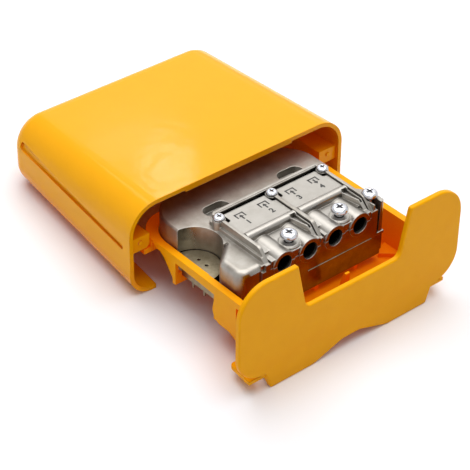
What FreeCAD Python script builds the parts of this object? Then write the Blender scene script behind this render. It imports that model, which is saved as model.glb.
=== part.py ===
import FreeCAD, Part
import math
import os

# Antenna signal mixer for a mast, all sizes in millimetres.
# A weather hood of yellow plastic holds a tray that slides out of its mouth.
# The tray carries a die-cast mixer with four cable clamps under two hinged lids.
# +Z is up, +X is to the right of someone who looks into the mouth, +Y goes into the hood.
# The hood is drawn with its mouth on Y = 0, the tray with its front plate on Y = 0.
# Both are moved at the end, so that the origin is under the middle of the pulled-out mixer.

V = FreeCAD.Vector

# Hood
BACK_BOTTOM = 9.4
HOOD_WALL = 1.8
TOP_RADIUS = 13.0
BOTTOM_RADIUS = 10.5
BACK_ROUNDING = 6.5
LIP_THICKNESS = 0.8
LIP_DEPTH = 2.6
SLOT_REAR_MARGIN = 12.0
SLOT_CORNER = 9.0
GUIDE_HEIGHT = 6.2
GUIDE_SET_BACK = 1.6
GUIDE_BEVEL = 1.4
GROOVE_FRONT_Y = 4.6
GROOVE_FRONT_Z = 21.8
GROOVE_REAR_Z = 30.1
GROOVE_FRONT_HEIGHT = 2.2
GROOVE_REAR_HEIGHT = 3.4
GROOVE_DEPTH = 0.9
PIP_RADIUS = 0.9
PIP_HEIGHT = 0.5

# Tray
PLATE_THICKNESS = 2.0
PLATE_TOP_RADIUS = 13.0
PLATE_BOTTOM_RADIUS = 12.0
NOTCH_RADIUS = 3.2
FOOT_DROP = 7.7
ARCH_HALF_WIDTH = 18.5
ARCH_TOP_HALF = 4.5
ARCH_HEIGHT = 4.6
RIM_EASE = 0.45
TRAY_WALL = 1.5
LEDGE_THICKNESS = 2.6
LEDGE_WIDTH = 2.9
FLOOR_THICKNESS = 1.7
WALL_SINK = 0.5
WEB_THICKNESS = 1.8
WEB_HEIGHT = 2.4
BAR_WIDTH = 10.0
BAR_THICKNESS = 2.0
TONGUE_LENGTH = 11.4
TONGUE_TOP = -0.5
TONGUE_THICKNESS = 1.5
RUNNER_LENGTH = 5.0
RUNNER_REACH = 3.2
RUNNER_THICKNESS = 2.2
SADDLE_RIB = 1.8
SADDLE_WEB_Y = 13.0
FINGER_X = 3.6
FINGER_WIDTH = 2.0
FINGER_LENGTH = 5.0
PAD_SIZE = 7.0
PAD_HEIGHT = 1.8
RUNNING_GAP = 0.5

# Mixer casting, seated in the tray
CASTING_CORNER = 15.0
CASTING_WALL = 2.2
TOP_EASE = 0.7
SHOULDER_RADIUS = 4.6
SHOULDER_REAR_RADIUS = 4.0
SHOULDER_EASE = 2.6
NECK_WIDTH = 2.6
SCOOP_RADIUS = 10.4
POCKET_LENGTH = 11.6
POCKET_WIDTH = 6.6
POCKET_DEPTH = 3.2
CHAMBER_ROOF = 1.8
CONTACT_BAY_MARGIN = 4.0
CONTACT_BAY_LENGTH = 4.4
CONTACT_BAY_RISE = 1.1
BOARD_POST_RADIUS = 1.6

# Connector frame on top of the casting
FRAME_WALL = 1.35
FRAME_BAR = 1.3
FRAME_CORNER = 2.0
PLINTH_STEP = 0.9
PLINTH_RISE = 1.9
CENTRE_RIB = 1.6
PARTING_GAP = 0.2

# Cable clamps
BORE_PITCH = 12.5
BORE_COUNT = 4
BORE_RADIUS = 3.5
BARREL_RADIUS = 5.1
BORE_LENGTH = 12.0
RING_PROUD = 0.5
LID_GAP = 0.3
PANEL_THICKNESS = 3.0
RIDGE_RADIUS = 1.9
RIDGE_RISE = 0.8
BOSS_RADIUS = 4.3
CHEEK_POCKET_DEPTH = 2.6
CHEEK_POCKET_WIDTH = 2.6
CHEEK_WALL = 0.55
HINGE_RADIUS = 0.9
HINGE_CLEARANCE = 0.05
HINGE_SET_IN = 1.3
NOTCH_GAP = 0.2
HINGE_BEARING = 0.3

# Screws: head radius, head height, shank radius, shank length
CLAMP_SCREW = (3.35, 2.1, 1.8, 6.4)
CLAMP_STAND = 2.1
SMALL_SCREW = (2.3, 1.6, 1.1, 5.0)
SMALL_SCREW_SINK = 0.6
HEAD_GAP = 0.15
SMALL_BOSS_RADIUS = 2.5
EARTH_SCREW = (3.2, 2.1, 1.6, 9.0)
EARTH_STAND = 0.5
FIXING_SCREW = (2.8, 1.8, 1.3, 7.0)
SHANK_CLEARANCE = 0.05
RECESS_HALF_LENGTH = 0.62
RECESS_HALF_WIDTH = 0.13
RECESS_DEPTH = 0.5

# Earth fork at the right front
FORK_TOP_WIDTH = 3.4
FORK_BOTTOM_WIDTH = 1.7
FORK_SHIFT = 0.5
FORK_DEPTH = 5.4

# Base pan and what is inside
PAN_WALL = 0.8
PAN_GAP = 0.3
EAR_THICKNESS = 0.8
EAR_HOLE_X = 3.4
FIXING_BOSS_RADIUS = 2.6
EAR_HOLE_RADIUS = 0.7
EAR_HOLE_PITCH = 4.6
LEG_Y = (41.8, 48.4)
LEG_WIDTH = 1.1
LEG_THICKNESS = 0.5
BOARD_THICKNESS = 1.2
BOARD_MARGIN = 0.6
COIL_RADIUS = 2.2
COIL_LENGTH = 6.0
COIL_WIRE = 2.0
COIL_SET_BACK = 8.0
CAPACITOR_RADIUS = 2.0
CAPACITOR_THICKNESS = 1.1
SHIELD_THICKNESS = 0.6
CONTACT_RADIUS = 0.6
CONTACT_LENGTH = 13.4
CONTACT_REACH = 0.0
INSULATOR_THICKNESS = 2.8
INSULATOR_GAP = 0.05
INSULATOR_SHOULDER = 1.0

# Widths, from the cable clamps outwards
FRAME_MARGIN = 1.3
FRAME_HALF_WIDTH = BORE_PITCH * BORE_COUNT / 2 + FRAME_MARGIN
SMALL_SCREW_MARGIN = 0.7
SMALL_SCREW_X = FRAME_HALF_WIDTH - SMALL_SCREW_MARGIN
POCKET_MARGIN = 7.9
POCKET_X = FRAME_HALF_WIDTH - POCKET_MARGIN
FRONT_LEFT_STEP = 2.5
FRONT_LEFT = FRAME_HALF_WIDTH + FRONT_LEFT_STEP
FRONT_RIGHT_STEP = 5.6
FRONT_RIGHT = FRAME_HALF_WIDTH + FRONT_RIGHT_STEP
SHOULDER_STEP = 1.2
SHOULDER_INNER = FRAME_HALF_WIDTH + SHOULDER_STEP
LEFT_WING = 12.3
CASTING_LEFT = FRAME_HALF_WIDTH + LEFT_WING
RIGHT_WING = 7.6
RIGHT_STEP = 1.9
STEP_X = FRAME_HALF_WIDTH + RIGHT_STEP
CASTING_RIGHT = FRAME_HALF_WIDTH + RIGHT_WING
EARTH_SET_IN = 2.9
EARTH_X = FRONT_RIGHT - EARTH_SET_IN
LEG_MARGIN = 1.8
LEG_X = CASTING_LEFT - LEG_MARGIN
FIXING_MARGIN = 6.3
FIXING_X = FRAME_HALF_WIDTH - FIXING_MARGIN
TRAY_SIDE = 3.6
TRAY_HALF_WIDTH = CASTING_LEFT + TRAY_SIDE
RAIL_ROOM = 11.1
MOUTH_WIDTH = 2 * (TRAY_HALF_WIDTH + RAIL_ROOM)
HOOD_TAPER = 6.4
BACK_WIDTH = MOUTH_WIDTH - HOOD_TAPER
SLOT_LIP = 12.0
SLOT_HALF_WIDTH = MOUTH_WIDTH / 2 - SLOT_LIP
PLATE_OVERHANG = 1.5
PLATE_HALF_WIDTH = MOUTH_WIDTH / 2 + PLATE_OVERHANG
STEP_SET_IN = 0.3
STEP_HALF_WIDTH = TRAY_HALF_WIDTH - STEP_SET_IN
FOOT_SLANT = 2.6
FOOT_HALF_WIDTH = STEP_HALF_WIDTH - FOOT_SLANT
NOTCH_SIDE = 1.3
NOTCH_TOP_HALF = FRAME_HALF_WIDTH + NOTCH_SIDE
NOTCH_SLANT = 4.5
NOTCH_BOTTOM_HALF = NOTCH_TOP_HALF - NOTCH_SLANT
LIP_SET_IN = 1.2
LIP_HALF_WIDTH = NOTCH_TOP_HALF - LIP_SET_IN
TONGUE_ROOM = 1.8
TONGUE_INNER = TRAY_HALF_WIDTH + TONGUE_ROOM
TONGUE_WIDTH = 5.0
TONGUE_OUTER = TONGUE_INNER + TONGUE_WIDTH

# Lengths along the slide, from the front plate backwards
CABLE_ROOM = 16.0
CASTING_FRONT = PLATE_THICKNESS + CABLE_ROOM
PAN_SET_BACK = 0.3
PAN_FRONT = CASTING_FRONT + PAN_SET_BACK
SHOULDER_SET_BACK = 0.9
SHOULDER_FRONT = CASTING_FRONT + SHOULDER_SET_BACK
SHOULDER_LENGTH = 12.5
SHOULDER_BEND = SHOULDER_FRONT + SHOULDER_LENGTH
NECK_LENGTH = 7.0
SHOULDER_REAR = SHOULDER_BEND + NECK_LENGTH
FRAME_SLOPE_LENGTH = 5.6
FRAME_SLOPE_START = CASTING_FRONT + FRAME_SLOPE_LENGTH
BOSS_SET_BACK = 4.6
BOSS_Y = CASTING_FRONT + BOSS_SET_BACK
CLAMP_LENGTH = 14.6
CLAMP_STEP = CASTING_FRONT + CLAMP_LENGTH
PANEL_FRONT = CLAMP_STEP
PANEL_LENGTH = 16.2
LID_REAR = PANEL_FRONT + PANEL_LENGTH
SCREW_SET_FORWARD = 2.0
SMALL_SCREW_Y = LID_REAR - SCREW_SET_FORWARD
TROUGH_LENGTH = 2.5
FRAME_REAR = LID_REAR + TROUGH_LENGTH
CHAMBER_SET_BACK = 7.4
CHAMBER_FRONT = CLAMP_STEP + CHAMBER_SET_BACK
SCOOP_SET_BACK = 4.9
SCOOP_Y = CHAMBER_FRONT + SCOOP_SET_BACK
POCKET_SET_BACK = 5.7
POCKET_Y = FRAME_REAR + POCKET_SET_BACK
REAR_LENGTH = 24.7
CASTING_REAR = FRAME_REAR + REAR_LENGTH
EARTH_SET_BACK = 0.4
EARTH_FRONT = CASTING_FRONT + EARTH_SET_BACK
EARTH_LENGTH = 12.6
EARTH_REAR = EARTH_FRONT + EARTH_LENGTH
EARTH_SCREW_SET_BACK = 5.4
EARTH_SCREW_Y = EARTH_FRONT + EARTH_SCREW_SET_BACK
FIXING_SET_IN = 10.0
FIXING_Y = CASTING_REAR - FIXING_SET_IN
FINGER_SET_BACK = 6.2
FINGER_Y = PLATE_THICKNESS + FINGER_SET_BACK
SKIN_SET_FORWARD = 1.1
SKIN_FRONT = CASTING_FRONT - SKIN_SET_FORWARD
SKIN_LENGTH = 14.5
SKIN_REAR = SKIN_FRONT + SKIN_LENGTH
FLOOR_END = SKIN_REAR
WINDOW_LENGTH = 20.7
WEB_FRONT = SKIN_REAR + WINDOW_LENGTH
POST_SLANT = 6.9
POST_REAR = WEB_FRONT + POST_SLANT
SADDLE_SHORT = 2.4
SADDLE_LENGTH = FLOOR_END - PLATE_THICKNESS - SADDLE_SHORT
TRAY_REAR = 2.6
TRAY_LENGTH = CASTING_REAR + TRAY_REAR
RUNNER_SET_IN = 11.8
RUNNER_Y = TRAY_LENGTH - RUNNER_SET_IN
REAR_ROOM = 3.8
HOOD_DEPTH = TRAY_LENGTH + REAR_ROOM
HELD_LENGTH = 13.2
PULL_OUT = TRAY_LENGTH - HELD_LENGTH
GROOVE_REAR_MARGIN = 7.0
GROOVE_REAR_Y = HOOD_DEPTH - GROOVE_REAR_MARGIN

# Heights, from the hood's lower edge upwards
FLOOR_TOP = 6.2
SKIN_STEP = 0.7
SKIN_BOTTOM = FLOOR_TOP + SKIN_STEP
SEAT_HEIGHT = 3.6
PAN_DEEP_BOTTOM = FLOOR_TOP + SEAT_HEIGHT
PAN_STEP = 2.2
PAN_BOTTOM = PAN_DEEP_BOTTOM + PAN_STEP
PAN_DEPTH = 2.8
CASTING_BOTTOM = PAN_BOTTOM + PAN_DEPTH
SEAM_RISE = 4.5
FRONT_SEAM = CASTING_BOTTOM + SEAM_RISE
CASTING_HEIGHT = 16.7
CASTING_TOP = CASTING_BOTTOM + CASTING_HEIGHT
LEG_LENGTH = 3.7
LEG_BOTTOM = PAN_BOTTOM - LEG_LENGTH
EAR_RISE = 6.2
EAR_TOP = CASTING_BOTTOM + EAR_RISE
BOARD_RISE = 4.8
BOARD_Z = CASTING_BOTTOM + BOARD_RISE
SEAT_DROP = 2.6
SEAT_Z = CASTING_TOP - SEAT_DROP
PIT_STEP = 0.5
PIT_FLOOR = CASTING_TOP + PIT_STEP
BRIDGE_RISE = 3.3
BARREL_BRIDGE_TOP = SEAT_Z + BRIDGE_RISE
PANEL_RISE = 6.6
PANEL_TOP = SEAT_Z + PANEL_RISE
FRAME_RISE = 0.7
FRAME_TOP = PANEL_TOP + FRAME_RISE
HINGE_DROP = 1.3
HINGE_Z = PANEL_TOP - HINGE_DROP
BOSS_DROP = 2.0
BOSS_TOP = PANEL_TOP - BOSS_DROP
CHEEK_DROP = 0.2
CHEEK_TOP = PANEL_TOP - CHEEK_DROP
FRAME_SLOPE_DROP = 5.2
FRAME_SLOPE_Z = FRAME_TOP - FRAME_SLOPE_DROP
EARTH_RISE = 2.6
EARTH_TOP = CASTING_TOP + EARTH_RISE
EARTH_HEIGHT = 15.7
EARTH_BOTTOM = EARTH_TOP - EARTH_HEIGHT
FORK_RISE = 1.8
FORK_BOTTOM = EARTH_BOTTOM + FORK_RISE
TRAY_RISE = 16.6
TRAY_TOP = FLOOR_TOP + TRAY_RISE
NOTCH_DROP = 1.2
NOTCH_BOTTOM = TRAY_TOP - NOTCH_DROP
RAIL_HEIGHT = 3.9
RAIL_FRONT_BOTTOM = TRAY_TOP - RAIL_HEIGHT
RAIL_REAR_HEIGHT = 1.8
RAIL_REAR_BOTTOM = TRAY_TOP - RAIL_REAR_HEIGHT
FINGER_HEIGHT = 12.4
FINGER_TOP = FLOOR_TOP + FINGER_HEIGHT
GUIDE_DROP = 3.4
GUIDE_BOTTOM = TRAY_TOP - GUIDE_DROP
SCREW_ROOM = 0.3
MOUTH_HEIGHT = BOSS_TOP + CLAMP_STAND + CLAMP_SCREW[1] + SCREW_ROOM + LIP_THICKNESS + HOOD_WALL
BACK_DROP = 1.2
BACK_TOP = MOUTH_HEIGHT - BACK_DROP
PLATE_RISE = 1.6
PLATE_TOP = MOUTH_HEIGHT + PLATE_RISE

TINY = 0.01
OUTSIDE = 2 * PLATE_TOP
INSULATOR_RADIUS = BORE_RADIUS - INSULATOR_SHOULDER
SMALL_SCREWS_X = (-SMALL_SCREW_X, 0, SMALL_SCREW_X)
BORE_X = [BORE_PITCH * (i - (BORE_COUNT - 1) / 2) for i in range(BORE_COUNT)]


def on_xz(y):
    return lambda u, v: V(u, y, v)


def on_xy(z):
    return lambda u, v: V(u, v, z)


def on_yz(x):
    return lambda u, v: V(x, u, v)


def rounded_wire(points, place):
    """Closed outline through (u, v, radius) corners, each radius as a tangent arc."""
    edges = []
    ends = []
    count = len(points)
    for i, (u, v, radius) in enumerate(points):
        here = V(u, v, 0)
        before = V(*points[i - 1][:2], 0) - here
        after = V(*points[(i + 1) % count][:2], 0) - here
        before.normalize()
        after.normalize()
        if radius <= 0:
            ends.append((here, None, here))
            continue
        half = before.getAngle(after) / 2
        run = radius / math.tan(half)
        middle = before + after
        middle.normalize()
        arc_point = here + middle * (radius / math.sin(half) - radius)
        ends.append((here + before * run, arc_point, here + after * run))
    for i, (start, middle, end) in enumerate(ends):
        if middle is not None:
            arc = Part.Arc(place(start.x, start.y), place(middle.x, middle.y), place(end.x, end.y))
            edges.append(arc.toShape())
        following = ends[(i + 1) % count][0]
        if (following - end).Length > 1e-6:
            edges.append(Part.makeLine(place(end.x, end.y), place(following.x, following.y)))
    return Part.Wire(edges)


def slab(points, place, direction):
    return Part.Face(rounded_wire(points, place)).extrude(direction)


def box(x0, x1, y0, y1, z0, z1):
    return Part.makeBox(x1 - x0, y1 - y0, z1 - z0, V(x0, y0, z0))


def rounded_box(x0, x1, y0, y1, z0, z1, radius):
    corners = [(x0, y0, radius), (x1, y0, radius), (x1, y1, radius), (x0, y1, radius)]
    return slab(corners, on_xy(z0), V(0, 0, z1 - z0))


def rod(radius, start, direction, length):
    return Part.makeCylinder(radius, length, start, direction)


def mirrored(shape):
    return shape.mirror(V(0, 0, 0), V(1, 0, 0))


def both_sides(shape):
    return [shape, mirrored(shape)]


def eased(shape, radius, wanted):
    edges = [e for e in shape.Edges if wanted(e)]
    return shape.makeFillet(radius, edges) if edges and radius > 0 else shape


def bevelled(shape, size, wanted):
    edges = [e for e in shape.Edges if wanted(e)]
    return shape.makeChamfer(size, edges) if edges else shape


def edge_box(edge):
    return edge.BoundBox


def hood_size(y, inset):
    """Half width, bottom and top of the hood's section at y, inset by a wall."""
    share = y / HOOD_DEPTH
    half_width = (MOUTH_WIDTH + (BACK_WIDTH - MOUTH_WIDTH) * share) / 2 - inset
    bottom = BACK_BOTTOM * share + inset
    top = MOUTH_HEIGHT + (BACK_TOP - MOUTH_HEIGHT) * share - inset
    return half_width, bottom, top


def tapered_block(front, rear, y0, y1):
    """Block between two upright rectangles, each given as half width, bottom and top."""
    rings = []
    for (half_width, bottom, top), y in ((front, y0), (rear, y1)):
        rings.append([V(-half_width, y, bottom), V(half_width, y, bottom),
                      V(half_width, y, top), V(-half_width, y, top)])
    outlines = list(rings)
    for i in range(4):
        j = (i + 1) % 4
        outlines.append([rings[0][i], rings[0][j], rings[1][j], rings[1][i]])
    faces = [Part.Face(Part.makePolygon(points + points[:1])) for points in outlines]
    solid = Part.Solid(Part.Shell(faces))
    return solid if solid.Volume > 0 else solid.reversed()


def hood_body(inset, y0, y1, back_rounding):
    """The hood's outer form, or its hollow, at a wall's inset from it."""
    body = tapered_block(hood_size(y0, inset), hood_size(y1, inset), y0, y1)
    middle = MOUTH_HEIGHT / 2
    along = (y1 - y0) / 2
    body = eased(body, TOP_RADIUS - inset, lambda e: edge_box(e).YLength > along
                 and edge_box(e).ZMax > middle)
    body = eased(body, BOTTOM_RADIUS - inset, lambda e: edge_box(e).YLength > along
                 and edge_box(e).ZMax < middle)
    return eased(body, back_rounding, lambda e: edge_box(e).YMin > y1 - TINY)


def guide_rail():
    """Square rail inside the left wall, solid from the wall to its inner face."""
    inner = TRAY_HALF_WIDTH + RUNNING_GAP
    outer = MOUTH_WIDTH / 2
    corners = [
        (-outer, GUIDE_BOTTOM, 0),
        (-inner - GUIDE_BEVEL, GUIDE_BOTTOM, 0),
        (-inner, GUIDE_BOTTOM + GUIDE_BEVEL, 0),
        (-inner, GUIDE_BOTTOM + GUIDE_HEIGHT, 0),
        (-outer, GUIDE_BOTTOM + GUIDE_HEIGHT, 0),
    ]
    return slab(corners, on_xz(GUIDE_SET_BACK), V(0, HOOD_DEPTH - GUIDE_SET_BACK, 0))


def side_groove():
    """Long shallow groove in the left wall, wider towards the back."""
    front_height = GROOVE_FRONT_HEIGHT / 2
    rear_height = GROOVE_REAR_HEIGHT / 2
    corners = [
        (GROOVE_FRONT_Y, GROOVE_FRONT_Z - front_height, front_height * 0.8),
        (GROOVE_REAR_Y, GROOVE_REAR_Z - rear_height, rear_height * 0.8),
        (GROOVE_REAR_Y, GROOVE_REAR_Z + rear_height, rear_height * 0.8),
        (GROOVE_FRONT_Y, GROOVE_FRONT_Z + front_height, front_height * 0.8),
    ]
    return slab(corners, on_yz(-MOUTH_WIDTH), V(2 * MOUTH_WIDTH, 0, 0))


def mast_slot():
    """Opening in the hood's underside for the mast saddle."""
    rear = HOOD_DEPTH - SLOT_REAR_MARGIN
    narrowing = (MOUTH_WIDTH - BACK_WIDTH) / 2 * rear / HOOD_DEPTH
    corners = [
        (-SLOT_HALF_WIDTH, -1, 0),
        (SLOT_HALF_WIDTH, -1, 0),
        (SLOT_HALF_WIDTH - narrowing, rear, SLOT_CORNER),
        (-SLOT_HALF_WIDTH + narrowing, rear, SLOT_CORNER),
    ]
    return slab(corners, on_xy(-1), V(0, 0, GUIDE_BOTTOM))


def make_hood():
    outside = hood_body(0, 0, HOOD_DEPTH, BACK_ROUNDING)
    inside = hood_body(HOOD_WALL, 0, HOOD_DEPTH - HOOD_WALL, BACK_ROUNDING - HOOD_WALL)
    shell = outside.cut(inside)
    rails = [outside.common(rail) for rail in both_sides(guide_rail())]
    lip_top = MOUTH_HEIGHT - HOOD_WALL / 2
    lip = box(-LIP_HALF_WIDTH, LIP_HALF_WIDTH, 0, LIP_DEPTH,
              MOUTH_HEIGHT - HOOD_WALL - LIP_THICKNESS, lip_top)
    pips = [
        rod(PIP_RADIUS, V(side * (TRAY_HALF_WIDTH + 5), GUIDE_SET_BACK + TINY,
                          GUIDE_BOTTOM + GUIDE_HEIGHT * 0.6), V(0, -1, 0), PIP_HEIGHT)
        for side in (-1, 1)
    ]
    shell = shell.fuse(rails + [lip.common(outside)] + pips)
    groove = side_groove()
    deep = hood_body(GROOVE_DEPTH, 0, HOOD_DEPTH, 0)
    shell = shell.cut(groove.cut(deep))
    return shell.cut(mast_slot())


def plate_outline():
    foot = -FOOT_DROP
    right = [
        (ARCH_TOP_HALF, foot + ARCH_HEIGHT, 6.0),
        (ARCH_HALF_WIDTH, foot, 9.0),
        (FOOT_HALF_WIDTH, foot, 1.0),
        (STEP_HALF_WIDTH, 0.1, 0.8),
        (PLATE_HALF_WIDTH, 0.1, PLATE_BOTTOM_RADIUS),
        (PLATE_HALF_WIDTH, PLATE_TOP, PLATE_TOP_RADIUS),
        (NOTCH_TOP_HALF, PLATE_TOP, 0.9),
        (NOTCH_BOTTOM_HALF, NOTCH_BOTTOM, NOTCH_RADIUS),
    ]
    left = [(-x, z, r) for x, z, r in reversed(right)]
    return right + left


def front_plate():
    plate = slab(plate_outline(), on_xz(0), V(0, PLATE_THICKNESS, 0))
    return bevelled(plate, RIM_EASE, lambda e: edge_box(e).YMax < TINY)


def casting_outline(grow):
    """Plan of the casting's rear part, larger all round by a gap."""
    front = CHAMBER_FRONT - 6
    corner = CASTING_CORNER + grow
    return [
        (-CASTING_LEFT - grow, front, 0),
        (CASTING_RIGHT + grow, front, 0),
        (CASTING_RIGHT + grow, CASTING_REAR + grow, corner),
        (-CASTING_LEFT - grow, CASTING_REAR + grow, corner),
    ]


def ledge():
    """Flat rim of the tray round the casting, open in the middle."""
    half = TRAY_HALF_WIDTH
    plan = [(-half, 1, 0), (half, 1, 0), (half, TRAY_LENGTH, 13), (-half, TRAY_LENGTH, 13)]
    rim = slab(plan, on_xy(TRAY_TOP - LEDGE_THICKNESS), V(0, 0, LEDGE_THICKNESS))
    inner = half - LEDGE_WIDTH
    front_hole = box(-inner, inner, 1, CHAMBER_FRONT - 4, 0, FRAME_TOP)
    rear_hole = slab(casting_outline(RUNNING_GAP), on_xy(0), V(0, 0, FRAME_TOP))
    rim = rim.cut(front_hole).cut(rear_hole)
    thin = TRAY_TOP - LEDGE_THICKNESS / 2
    under_rear = box(-half, half, POST_REAR + 6, TRAY_LENGTH + 1, 0, thin)
    return rim.cut(under_rear)


def side_wall():
    """Left wall: deep skin near the front, then a thin rail over a window."""
    outer = -TRAY_HALF_WIDTH
    inner = outer + LEDGE_WIDTH
    top = TRAY_TOP - TINY
    wall = [
        (1, FLOOR_TOP - WALL_SINK, 0),
        (SKIN_REAR, FLOOR_TOP - WALL_SINK, 0),
        (SKIN_REAR, top, 0),
        (1, top, 0),
    ]
    skin = [
        (SKIN_FRONT, SKIN_BOTTOM, 0),
        (SKIN_REAR, SKIN_BOTTOM, 5.0),
        (SKIN_REAR - 2.4, RAIL_FRONT_BOTTOM, 0),
        (WEB_FRONT, RAIL_REAR_BOTTOM - 1.2, 0),
        (POST_REAR + 6, RAIL_REAR_BOTTOM, 0),
        (POST_REAR + 6, top, 0),
        (SKIN_FRONT, top, 0),
    ]
    split = outer + TRAY_WALL
    return [
        slab(wall, on_yz(split - TINY), V(inner - split, 0, 0)),
        slab(skin, on_yz(outer), V(TRAY_WALL, 0, 0)),
    ]


def rear_post():
    """Left gusset that carries the cross web under the pan."""
    outer = -TRAY_HALF_WIDTH
    bottom = PAN_BOTTOM - WEB_HEIGHT
    top = CASTING_BOTTOM - PAN_GAP
    side = [
        (WEB_FRONT, bottom, 0.6),
        (POST_REAR, TRAY_TOP - 4.0, 0),
        (POST_REAR + 5, TRAY_TOP - 1, 0),
        (WEB_FRONT, TRAY_TOP - 1, 0),
    ]
    front = box(outer, -CASTING_LEFT - RUNNING_GAP, WEB_FRONT, WEB_FRONT + WEB_THICKNESS,
                bottom, top)
    return [slab(side, on_yz(outer), V(TRAY_WALL, 0, 0)), front]


def runner():
    """Left rear foot that rides under the hood's guide rail."""
    outer = -TRAY_HALF_WIDTH
    y0 = RUNNER_Y
    y1 = y0 + RUNNER_LENGTH
    top = GUIDE_BOTTOM - 0.4
    inner = -CASTING_LEFT - RUNNING_GAP
    arm = box(outer, inner, y0, y1, top - RUNNER_THICKNESS, TRAY_TOP - LEDGE_THICKNESS / 4)
    foot = box(outer - RUNNER_REACH, inner, y0, y1, top - RUNNER_THICKNESS, top)
    return [arm, foot]


def tongue():
    """Left tongue behind the plate, under the hood's lower lip when the hood is closed."""
    corners = [
        (-TONGUE_OUTER, 1, 0),
        (-TONGUE_INNER, 1, 0),
        (-TONGUE_INNER, PLATE_THICKNESS + TONGUE_LENGTH, 0.8),
        (-TONGUE_OUTER + 1, PLATE_THICKNESS + TONGUE_LENGTH, 2.0),
    ]
    low = TONGUE_TOP - TONGUE_THICKNESS
    blade = slab(corners, on_xy(low), V(0, 0, TONGUE_THICKNESS))
    root = box(-TONGUE_OUTER, -FOOT_HALF_WIDTH + SADDLE_RIB, 1, PLATE_THICKNESS + 2,
               low, TONGUE_TOP)
    return [blade, root]


def saddle():
    """Ribs under the tray floor that straddle the mast."""
    top = FLOOR_TOP - TINY
    side = [(0.5, -FOOT_DROP + 0.3, 1.0), (PLATE_THICKNESS + SADDLE_LENGTH, top - 1, 0),
            (PLATE_THICKNESS + SADDLE_LENGTH, top, 0), (0.5, top, 0)]
    ribs = []
    for x in (-FOOT_HALF_WIDTH, -ARCH_HALF_WIDTH - 1):
        rib = slab(side, on_yz(x), V(SADDLE_RIB, 0, 0))
        ribs += both_sides(rib)
    rise = (FOOT_DROP + top) * (SADDLE_WEB_Y / SADDLE_LENGTH)
    low = -FOOT_DROP + rise
    half = FOOT_HALF_WIDTH - TINY
    web = [(-half, low, 0), (-ARCH_HALF_WIDTH, low, 4), (-ARCH_TOP_HALF, low + 2, 4),
           (ARCH_TOP_HALF, low + 2, 4), (ARCH_HALF_WIDTH, low, 4), (half, low, 0),
           (half, top, 0), (-half, top, 0)]
    ribs.append(slab(web, on_xz(SADDLE_WEB_Y), V(0, SADDLE_RIB, 0)))
    return ribs


def tray_floor():
    half = TRAY_HALF_WIDTH - LEDGE_WIDTH + WALL_SINK
    floor = box(-half, half, 1, FLOOR_END, FLOOR_TOP - FLOOR_THICKNESS, FLOOR_TOP)
    seats = []
    for x in (-FIXING_X, 0, FIXING_X):
        seats.append(box(x - 1, x + 1, CASTING_FRONT + 2, FLOOR_END, FLOOR_TOP - TINY, PAN_DEEP_BOTTOM))
    pads = []
    for x in (-half + 1, half - 1):
        inward = math.copysign(PAD_SIZE, -x)
        plan = [(x, CASTING_FRONT - 4, 0), (x, CASTING_FRONT + 6, 0), (x + inward, CASTING_FRONT + 2, 0)]
        pads.append(slab(plan, on_xy(FLOOR_TOP - TINY), V(0, 0, PAD_HEIGHT)))
    finger = [
        (FINGER_Y, FLOOR_TOP - TINY, 0),
        (FINGER_Y + FINGER_LENGTH, FLOOR_TOP - TINY, 0),
        (FINGER_Y + 1.2, FINGER_TOP, 0.5),
        (FINGER_Y, FINGER_TOP, 0.5),
    ]
    return [floor, slab(finger, on_yz(FINGER_X), V(FINGER_WIDTH, 0, 0))] + seats + pads


def rear_web():
    """Cross web under the rear of the pan, and the two bars that carry the fixing screws."""
    half = TRAY_HALF_WIDTH
    low = PAN_BOTTOM - WEB_HEIGHT
    web = box(-half, half, WEB_FRONT, WEB_FRONT + WEB_THICKNESS, low, PAN_BOTTOM)
    bars = []
    for x in (-FIXING_X, FIXING_X):
        half_bar = BAR_WIDTH / 2
        step = CHAMBER_FRONT - 4 + RUNNING_GAP
        bar = rounded_box(x - half_bar, x + half_bar, step, FIXING_Y + half_bar, low, PAN_BOTTOM, 1.5)
        hole = rod(FIXING_SCREW[2] + SHANK_CLEARANCE, V(x, FIXING_Y, low - 1), V(0, 0, 1), 9)
        bars.append(bar.cut(hole))
        bars.append(box(x - half_bar, x + half_bar, FLOOR_END - WEB_THICKNESS, step + 3,
                        PAN_DEEP_BOTTOM - BAR_THICKNESS, PAN_DEEP_BOTTOM))
        bars.append(box(x - half_bar, x + half_bar, FLOOR_END - WEB_THICKNESS, FLOOR_END,
                        FLOOR_TOP - FLOOR_THICKNESS, PAN_DEEP_BOTTOM))
    return [web] + bars


def make_tray():
    pieces = [ledge()]
    for part in side_wall() + rear_post() + runner() + tongue():
        pieces += both_sides(part)
    pieces += saddle() + tray_floor() + rear_web()
    return front_plate().fuse(pieces).removeSplitter()


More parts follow.
